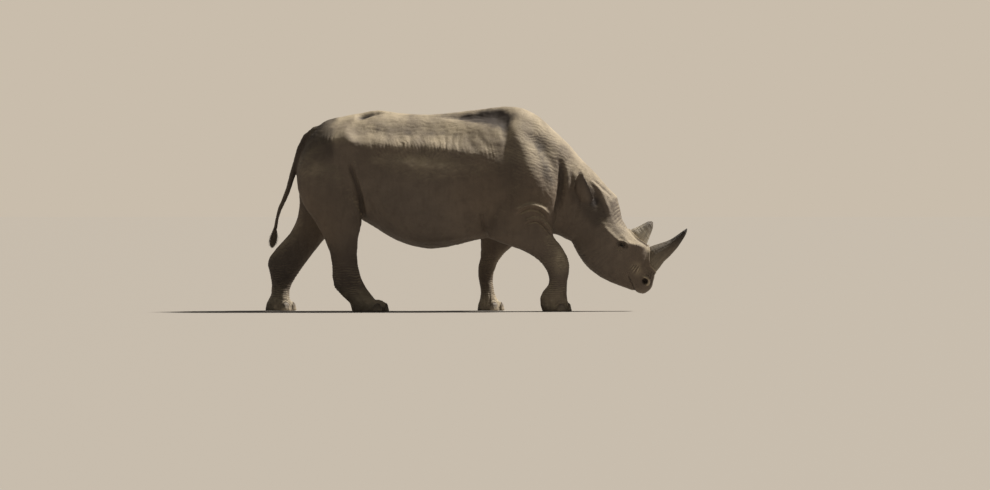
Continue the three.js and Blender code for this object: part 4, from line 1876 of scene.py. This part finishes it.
    def _mud_shade(self, points: Array) -> Array:
        """Finds the painted shade on the rear of the rump and in the hollows about each shoulder blade.

        Args:
            points: The skin's points.

        Returns:
            One number from 0 to 1 for each point.
        """
        stray = 0.05 * Chance.cloud(points, 0.16, 87) + 0.02 * Chance.cloud(points, 0.05, 88)
        edge = self.trunk.at(0.132, 0, 0)[0] + 0.12 * (points[:, 2] - self.trunk.at(0, 0, 0.85)[2])
        rump = 0.7 * ramp(points[:, 0] + stray, edge + 0.06, edge - 0.02) * ramp(points[:, 2], 1.0, 1.25)
        behind = (points - self.trunk.at(0.79, 0.5, 0.62)) / (0.13, 1.0, 0.3)
        before = (points - self.trunk.at(0.9, 0.5, 0.6)) / (0.14, 1.0, 0.3)
        wedge = np.exp(-(behind[:, 0] ** 2 + behind[:, 2] ** 2))
        # Uneven strength for the painted shade about the blades.
        worn = 0.75 + 0.25 * Chance.cloud(points, 0.12, 93)
        blade = worn * (0.36 * wedge + 0.2 * np.exp(-(before[:, 0] ** 2 + before[:, 2] ** 2)))
        return np.maximum(rump, blade)

    def _dusty_wrists(self, points: Array) -> Array:
        """Finds the painted patch of light on the front of each wrist.

        Args:
            points: The skin's points.

        Returns:
            One number from 0 to 1 for each point.
        """
        # The painted light is laid into the dust layer.
        dust = np.zeros(len(points))
        for side in Side:
            box = Box.of(f"leg_fore_{side.word}_lower")
            share = (points - box.at(0.86, 0.5, 0.6)) / (0.055, 0.2, 0.09)
            dust = np.maximum(dust, np.exp(-(share**2).sum(axis=1)) * (points[:, 1] * side.value > 0))
        return np.clip(1.3 * dust, 0, 1)

    def _ear_shade(self, points: Array) -> Array:
        """Finds how dark the ears are: a little all over, and most along the front rim and in the cup, where
        it is painted shade.

        Args:
            points: The skin's points.

        Returns:
            One number from 0 to 1 for each point.
        """
        shade = np.zeros(len(points))
        for side in Side:
            box = Box.of(f"ear_{side.word}")
            share = (points - box.low) / (box.high - box.low)
            inward = share[:, 1] if side is Side.RIGHT else 1 - share[:, 1]
            front = ramp(share[:, 0] + 0.5 * share[:, 2], 0.72, 1.0)
            rows = self.on_ear & (points[:, 1] * side.value > 0)
            shade[rows] = (0.3 + 0.5 * np.maximum(front, ramp(inward, 0.55, 0.95)))[rows]
        return shade


# -------- horns, nails and eyes


@dataclass
class Horn:
    """One horn of packed fibres, as rings up from a root sunk in the nose.

    A station gives v, u, half the length and half the width of a ring, in the head's frame.
    """

    node: str
    head: HeadFrame
    stations: tuple[tuple[float, float, float, float], ...]
    sides: int = 112
    rings: int = 130
    bundles: tuple[float, float, float] = (2.6, 2.6, 0.45)
    strands: tuple[float, float, float] = (8.0, 8.0, 0.6)
    bundle_depth: float = 0.0022
    strand_depth: float = 0.0014
    growth_depth: float = 0.0008
    seed: int = 100

    def build(self, material: Material) -> Object:
        """Makes the horn.

        Args:
            material: The horn's finish.

        Returns:
            The horn's object, which stands for its solid.
        """
        rows = through(np.array(self.stations), self.rings)
        angle = np.linspace(0, 2 * math.pi, self.sides, endpoint=False)
        spread = np.stack([np.cos(angle), np.sin(angle)])
        length = np.concatenate([[0], np.cumsum(np.hypot(*np.diff(rows[:, :2], axis=0).T))])
        points, grain, rise = [], [], []
        for (v, u, long, wide), s in zip(rows, length):
            fibre = np.stack([spread[0] * 3, spread[1] * 3, np.full(self.sides, s * 9)], axis=1)
            share = s / length[-1]
            bundle = Chance.cloud(fibre * self.bundles, 1.0, self.seed)
            strand = Chance.cloud(fibre * self.strands, 1.0, self.seed + 1)
            growth = Chance.cloud(np.full((self.sides, 3), s * 60.0), 1.0, self.seed + 2)
            fray = (1 - share) ** 2
            swell = self.bundle_depth * bundle * (0.4 + fray) + self.strand_depth * strand * (0.25 + fray)
            swell += self.growth_depth * growth
            scale = 1 + swell / max(wide, 0.02)
            x = u + long * spread[0] * scale
            ring = self.head.origin + x[:, None] * self.head.down + v * self.head.up
            ring[:, 1] += wide * spread[1] * scale
            points.append(ring)
            grain.append(fibre)
            rise.append(np.full(self.sides, share))
        mesh = bpy.data.meshes.new(self.node)
        mesh.from_pydata(np.vstack(points).tolist(), [], self._faces())
        mesh.update()
        store(mesh, "grain", np.vstack(grain))
        store(mesh, "rise", np.concatenate(rise))
        horn = make_object(f"{self.node}_fibres", mesh, material)
        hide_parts(self.node)
        return horn

    def _faces(self) -> list[tuple[int, ...]]:
        """Lists the horn's faces.

        Returns:
            Quads round the horn and a face over each end.
        """
        n = self.sides
        faces = []
        for r in range(self.rings - 1):
            for i in range(n):
                j = (i + 1) % n
                faces.append((r * n + i, (r + 1) * n + i, (r + 1) * n + j, r * n + j))
        faces.append(tuple(range(n)))
        faces.append(tuple((self.rings - 1) * n + i for i in reversed(range(n))))
        return faces


@dataclass
class Nails:
    """The three nails of every foot, each drawn over its solid and worn at the ground."""

    voxel: float = 0.0035
    rounding: int = 6
    swell: float = 0.0016
    growth_depth: float = 0.0007
    chip_depth: float = 0.0012
    ground: float = 0.0004

    def build(self, material: Material) -> list[Object]:
        """Makes the nails."""
        return [self._nail(node, material) for node in nodes_named("nail_")]

    def _nail(self, node: str, material: Material) -> Object:
        """Makes one nail.

        Args:
            node: Its solid.
            material: The nails' finish.

        Returns:
            The nail's object, which stands for the solid.
        """
        clay = Clay(remeshed([node], self.voxel))
        clay.soften(np.full(len(clay.points), self.rounding))
        rise = Box.of(node).rise(clay.points)
        growth = Chance.cloud(clay.points * (0.3, 0.3, 1.0), 0.007, 81)
        chips = Chance.cloud(clay.points, 0.011, 83) * ramp(rise, 0.5, 0.0)
        clay.raise_by(self.swell + self.growth_depth * growth + self.chip_depth * chips)
        clay.points[:, 2] = np.maximum(clay.points[:, 2], self.ground)
        clay.write()
        store(clay.mesh, "rise", np.clip(rise, 0, 1))
        nail = make_object(f"{node}_horn", clay.mesh, material)
        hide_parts(node)
        return nail


@dataclass
class Eyeball:
    """One eye, a ball with a clear bulge in front."""

    side: Side
    rings: int = 40
    sides: int = 56
    bulge: float = 0.0016

    @property
    def node(self) -> str:
        """The eye's solid."""
        return f"eye_{self.side.word}"

    def build(self, material: Material) -> Object:
        """Makes the eye, looking out, a little forward and down.

        Args:
            material: The eyes' finish.

        Returns:
            The eye's object, which stands for its solid.
        """
        box = Box.of(self.node)
        radius = box.height / 2
        gaze = unit(np.array((0.3, self.side.value, -0.08)))
        across = unit(np.cross(gaze, (0, 0, 1)))
        up = np.cross(across, gaze)
        polar = np.linspace(0, math.pi, self.rings)[1:-1]
        around = np.linspace(0, 2 * math.pi, self.sides, endpoint=False)
        points = [box.middle + gaze * (radius + self.bulge)]
        angles = [0.0]
        for p in polar:
            r = radius + self.bulge * math.exp(-((p / 0.5) ** 2))
            ring = np.cos(around)[:, None] * across + np.sin(around)[:, None] * up
            points.extend(box.middle + r * (math.cos(p) * gaze + math.sin(p) * ring))
            angles.extend([p] * self.sides)
        points.append(box.middle - gaze * radius)
        angles.append(math.pi)
        mesh = bpy.data.meshes.new(self.node)
        mesh.from_pydata(np.array(points).tolist(), [], self._faces(len(polar)))
        mesh.update()
        store(mesh, "gaze", np.array(angles))
        eye = make_object(f"{self.node}_ball", mesh, material)
        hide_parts(self.node)
        return eye

    def _faces(self, rings: int) -> list[tuple[int, ...]]:
        """Lists the faces of a ball.

        Args:
            rings: How many rings of points lie between its poles.

        Returns:
            Triangles at the poles and quads between the rings.
        """
        n = self.sides
        end = 1 + rings * n
        faces: list[tuple[int, ...]] = []
        for i in range(n):
            j = (i + 1) % n
            faces.append((0, 1 + j, 1 + i))
            for first in range(1, end - n, n):
                faces.append((first + i, first + j, first + n + j, first + n + i))
            faces.append((end, end - n + i, end - n + j))
        return faces


# -------- coat


@dataclass
class Coat:
    """What hair a rhinoceros has: the tail's bristles, the ears' fringe and the lashes."""

    head: HeadFrame
    skin: Object
    seed: int = 20
    bristle_radius: float = 0.0008
    fringe_radius: float = 0.0005
    lash_radius: float = 0.00035
    lash_length: float = 0.013
    unwrap: Unwrap = field(init=False)
    dice: np.random.Generator = field(init=False)
    points: Array = field(init=False)
    normals: Array = field(init=False)

    def __post_init__(self) -> None:
        """Sets up the map of the skin and the dice, and reads the skin."""
        low, high = (np.array(corner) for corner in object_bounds())
        self.unwrap = Unwrap(low, high, Box.of("trunk").middle[2])
        self.dice = np.random.default_rng(self.seed)
        self.points = read_rows(self.skin.data.vertices, "co")
        self.normals = read_rows(self.skin.data.vertex_normals, "vector")

    def build(self, material: Material) -> list[Object]:
        """Makes every piece of hair."""
        return [self._tail(material), *self._ears(material), *self._lashes(material)]

    def _tail(self, material: Material, count: int = 1500) -> Object:
        """Makes the bristles at the tail's end, which fill the room of their solid.

        Args:
            material: The hair's finish.
            count: How many hairs there are.

        Returns:
            The tuft's object, which stands for its solid.
        """
        box = Box.of("tail_tuft")
        tufts = Tufts()
        top = np.array((box.high[0] - 0.02, 0.0, box.high[2] + 0.012))
        foot = np.array((box.low[0] + 0.034, 0.0, box.low[2] + 0.002))
        for _ in range(count):
            start = self.dice.uniform(0.0, 0.6)
            end = start + (1 - start) * self.dice.uniform(0.4, 1.0)
            turn = self.dice.uniform(0, 2 * math.pi)
            out = np.array((math.cos(turn), 0.55 * math.sin(turn), 0.0))
            full = math.sin(math.pi * (0.12 + 0.88 * end**1.7)) ** 0.6
            root = top + (foot - top) * start + out * 0.009
            tip = top + (foot - top) * end + out * 0.04 * full * self.dice.uniform(0.3, 1.0)
            way = tip - root
            sag = -0.1 * box.height * 0.1
            bend = np.array((self.dice.normal(0, 0.003), self.dice.normal(0, 0.002), sag))
            tufts.grow(root, way, float(np.linalg.norm(way)), self.bristle_radius, bend)
        mesh = tufts.mesh("tail_bristles", self.unwrap)
        piece = make_object("tail_bristles", mesh, material)
        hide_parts("tail_tuft")
        return piece

    def _ears(self, material: Material, count: int = 420) -> list[Object]:
        """Makes the short fringe along each ear's rim.

        Args:
            material: The hair's finish.
            count: How many hairs each ear has.

        Returns:
            The right ear's object and the left one's.
        """
        pieces = []
        for side in Side:
            box = Box.of(f"ear_{side.word}")
            rows = np.nonzero(box.holds(self.points, 0.01) & (box.rise(self.points) > 0.45))[0]
            base = box.at(0.5, 0.5 - 0.3 * side.value, 0.0)
            away = unit(self.points[rows] - base)
            rim = (self.normals[rows] * away).sum(axis=1)
            rows = rows[rim > 0.72]
            tufts = Tufts()
            for row in self.dice.choice(rows, min(count, len(rows)), replace=False):
                root = self.points[row] - self.normals[row] * 0.001
                way = self.normals[row] + 0.35 * unit(root - base) + self.dice.normal(0, 0.22, 3)
                length = 0.008 + 0.011 * self.dice.random()
                tufts.grow(root, way, length, self.fringe_radius, self.dice.normal(0, 0.002, 3))
            name = f"ear_fringe_{side.word}"
            pieces.append(make_object(name, tufts.mesh(name, self.unwrap), material))
        return pieces

    def _lashes(self, material: Material, count: int = 46) -> list[Object]:
        """Makes the lashes of each upper lid.

        Args:
            material: The hair's finish.
            count: How many hairs each lid has.

        Returns:
            The right eye's object and the left one's.
        """
        pieces = []
        for side in Side:
            box = Box.of(f"eye_{side.word}")
            along, rise, out = self.head.eye_axes(side)
            tufts = Tufts()
            for k in range(count):
                a = (k / (count - 1) * 2 - 1) * 0.0165
                b = 0.0098 * (1 - (a / 0.0185) ** 2) + 0.0008
                c = math.sqrt(0.0245**2 - a * a - b * b)
                root = box.middle + a * along + b * rise + c * out
                way = out * 0.9 + rise * 0.15 + along * (a * 18 + self.dice.normal(0, 0.08))
                length = self.lash_length + self.dice.uniform(-0.003, 0.003)
                tufts.grow(root, way, length, self.lash_radius, -rise * 0.004)
            name = f"lashes_{side.word}"
            pieces.append(make_object(name, tufts.mesh(name, self.unwrap), material))
        return pieces


# -------- the hall


@dataclass(frozen=True)
class Hall:
    """The pale hall that the model stands in, its soft lights and its camera."""

    camera_distance: float = 40.0
    camera_elevation: float = math.radians(0.4)
    view_width: float = 7.38
    aim_along: float = 0.143
    aim_height: float = 0.492
    sensor: float = 36.0
    farthest: float = 1000.0
    floor_reach: float = 400.0
    floor_drop: float = 0.0004
    lamp_strength: float = 6.0
    lamp_tint: tuple[float, float, float] = (1.0, 0.95, 0.87)
    lamp_elevation: float = math.radians(49)
    lamp_turn: float = math.radians(22)
    lamp_softness: float = math.radians(7)
    air: int = 0xC9C7C4
    air_strength: float = 0.17
    wall: int = 0xC9BDAC

    def build(self, floor_finish: FloorFinish) -> None:
        """Makes the camera, the lights and the floor.

        Args:
            floor_finish: What the floor is made of.
        """
        self._camera()
        self._lamp()
        self._air()
        self._floor(floor_finish)
        bpy.context.scene.view_settings.view_transform = "Standard"

    def _camera(self) -> None:
        """Places a long lens level with the animal's right side."""
        data = bpy.data.cameras.new("camera")
        data.sensor_width = self.sensor
        data.lens = self.sensor * self.camera_distance / self.view_width
        data.clip_end = self.farthest
        camera = bpy.data.objects.new("camera", data)
        aim = Vector((self.aim_along, 0.0, self.aim_height))
        back = Vector((0.0, -math.cos(self.camera_elevation), math.sin(self.camera_elevation)))
        camera.location = aim + back * self.camera_distance
        camera.rotation_mode = "QUATERNION"
        camera.rotation_quaternion = (-back).to_track_quat("-Z", "Y")
        bpy.context.scene.collection.objects.link(camera)
        bpy.context.scene.camera = camera

    def _lamp(self) -> None:
        """Hangs a broad soft lamp high over the animal's front and far side."""
        data = bpy.data.lights.new("overhead_lamp", "SUN")
        data.energy = self.lamp_strength
        data.angle = self.lamp_softness
        data.color = self.lamp_tint
        lamp = bpy.data.objects.new("overhead_lamp", data)
        flat = math.cos(self.lamp_elevation)
        east, north = flat * math.cos(self.lamp_turn), flat * math.sin(self.lamp_turn)
        way = Vector((east, north, math.sin(self.lamp_elevation)))
        lamp.rotation_mode = "QUATERNION"
        lamp.rotation_quaternion = way.to_track_quat("Z", "Y")
        bpy.context.scene.collection.objects.link(lamp)

    def _air(self) -> None:
        """Fills the hall with even light, and shows a plain pale wall behind everything."""
        world = bpy.data.worlds.new("hall_air")
        world.use_nodes = True
        graph = Graph(world.node_tree)
        fill = graph.add("Background", {"Color": colour(self.air), "Strength": self.air_strength})
        wall = graph.add("Background", {"Color": colour(self.wall), "Strength": 1.0})
        seen = graph.add("LightPath").outputs["Is Camera Ray"]
        both = graph.add("MixShader", {0: seen, 1: fill.outputs[0], 2: wall.outputs[0]})
        graph.add("OutputWorld", {"Surface": both.outputs[0]})
        bpy.context.scene.world = world

    def _floor(self, finish: FloorFinish) -> None:
        """Lays a level floor under the soles.

        Args:
            finish: What it is made of.
        """
        reach = self.floor_reach
        around = ((-reach, -reach), (reach, -reach), (reach, reach), (-reach, reach))
        mesh = bpy.data.meshes.new("hall_floor")
        mesh.from_pydata([(x, y, -self.floor_drop) for x, y in around], [], [(0, 1, 2, 3)])
        mesh.materials.append(finish.material())
        floor = bpy.data.objects.new("hall_floor", mesh)
        bpy.context.scene.collection.objects.link(floor)
        floor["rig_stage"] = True


# -------- the animal


@dataclass
class Rhinoceros:
    """The whole animal, piece by piece."""

    front_horn: tuple[tuple[float, float, float, float], ...] = (
        (0.066, 0.598, 0.09, 0.072),
        (0.118, 0.593, 0.084, 0.07),
        (0.162, 0.59, 0.074, 0.063),
        (0.222, 0.598, 0.06, 0.052),
        (0.298, 0.604, 0.041, 0.038),
        (0.372, 0.596, 0.027, 0.026),
        (0.424, 0.586, 0.015, 0.015),
        (0.451, 0.577, 0.0035, 0.0035),
    )
    rear_horn: tuple[tuple[float, float, float, float], ...] = (
        (0.078, 0.41, 0.084, 0.066),
        (0.126, 0.408, 0.08, 0.063),
        (0.168, 0.403, 0.064, 0.054),
        (0.214, 0.394, 0.046, 0.042),
        (0.256, 0.384, 0.028, 0.027),
        (0.28, 0.378, 0.006, 0.006),
    )

    def build(self) -> None:
        """Makes every piece of the animal, in order."""
        groups = SharedGroups()
        head = HeadFrame()
        skin = Hide(head).build(HideFinish().material(groups))
        horn = HornFinish().material(groups)
        Horn("horn_front", head, self.front_horn).build(horn)
        # The rear horn wears a paler copy of the horn finish, which is painted light.
        pale = HornFinish("horn_rear", root=0xCBC0AC, shaft=0xCFC4B0, tip=0x786D60)
        Horn("horn_rear", head, self.rear_horn, seed=140).build(pale.material(groups))
        Nails().build(NailFinish().material(groups))
        eye = EyeFinish().material()
        for side in Side:
            Eyeball(side).build(eye)
        Coat(head, skin).build(BristleFinish().material(groups))


def main() -> None:
    """Dresses the frame and places it in the hall."""
    logging.basicConfig(level=logging.INFO, format="%(name)s: %(message)s", stream=sys.stdout)
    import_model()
    Hall().build(FloorFinish())
    Rhinoceros().build()


if __name__ == "__main__":
    main()
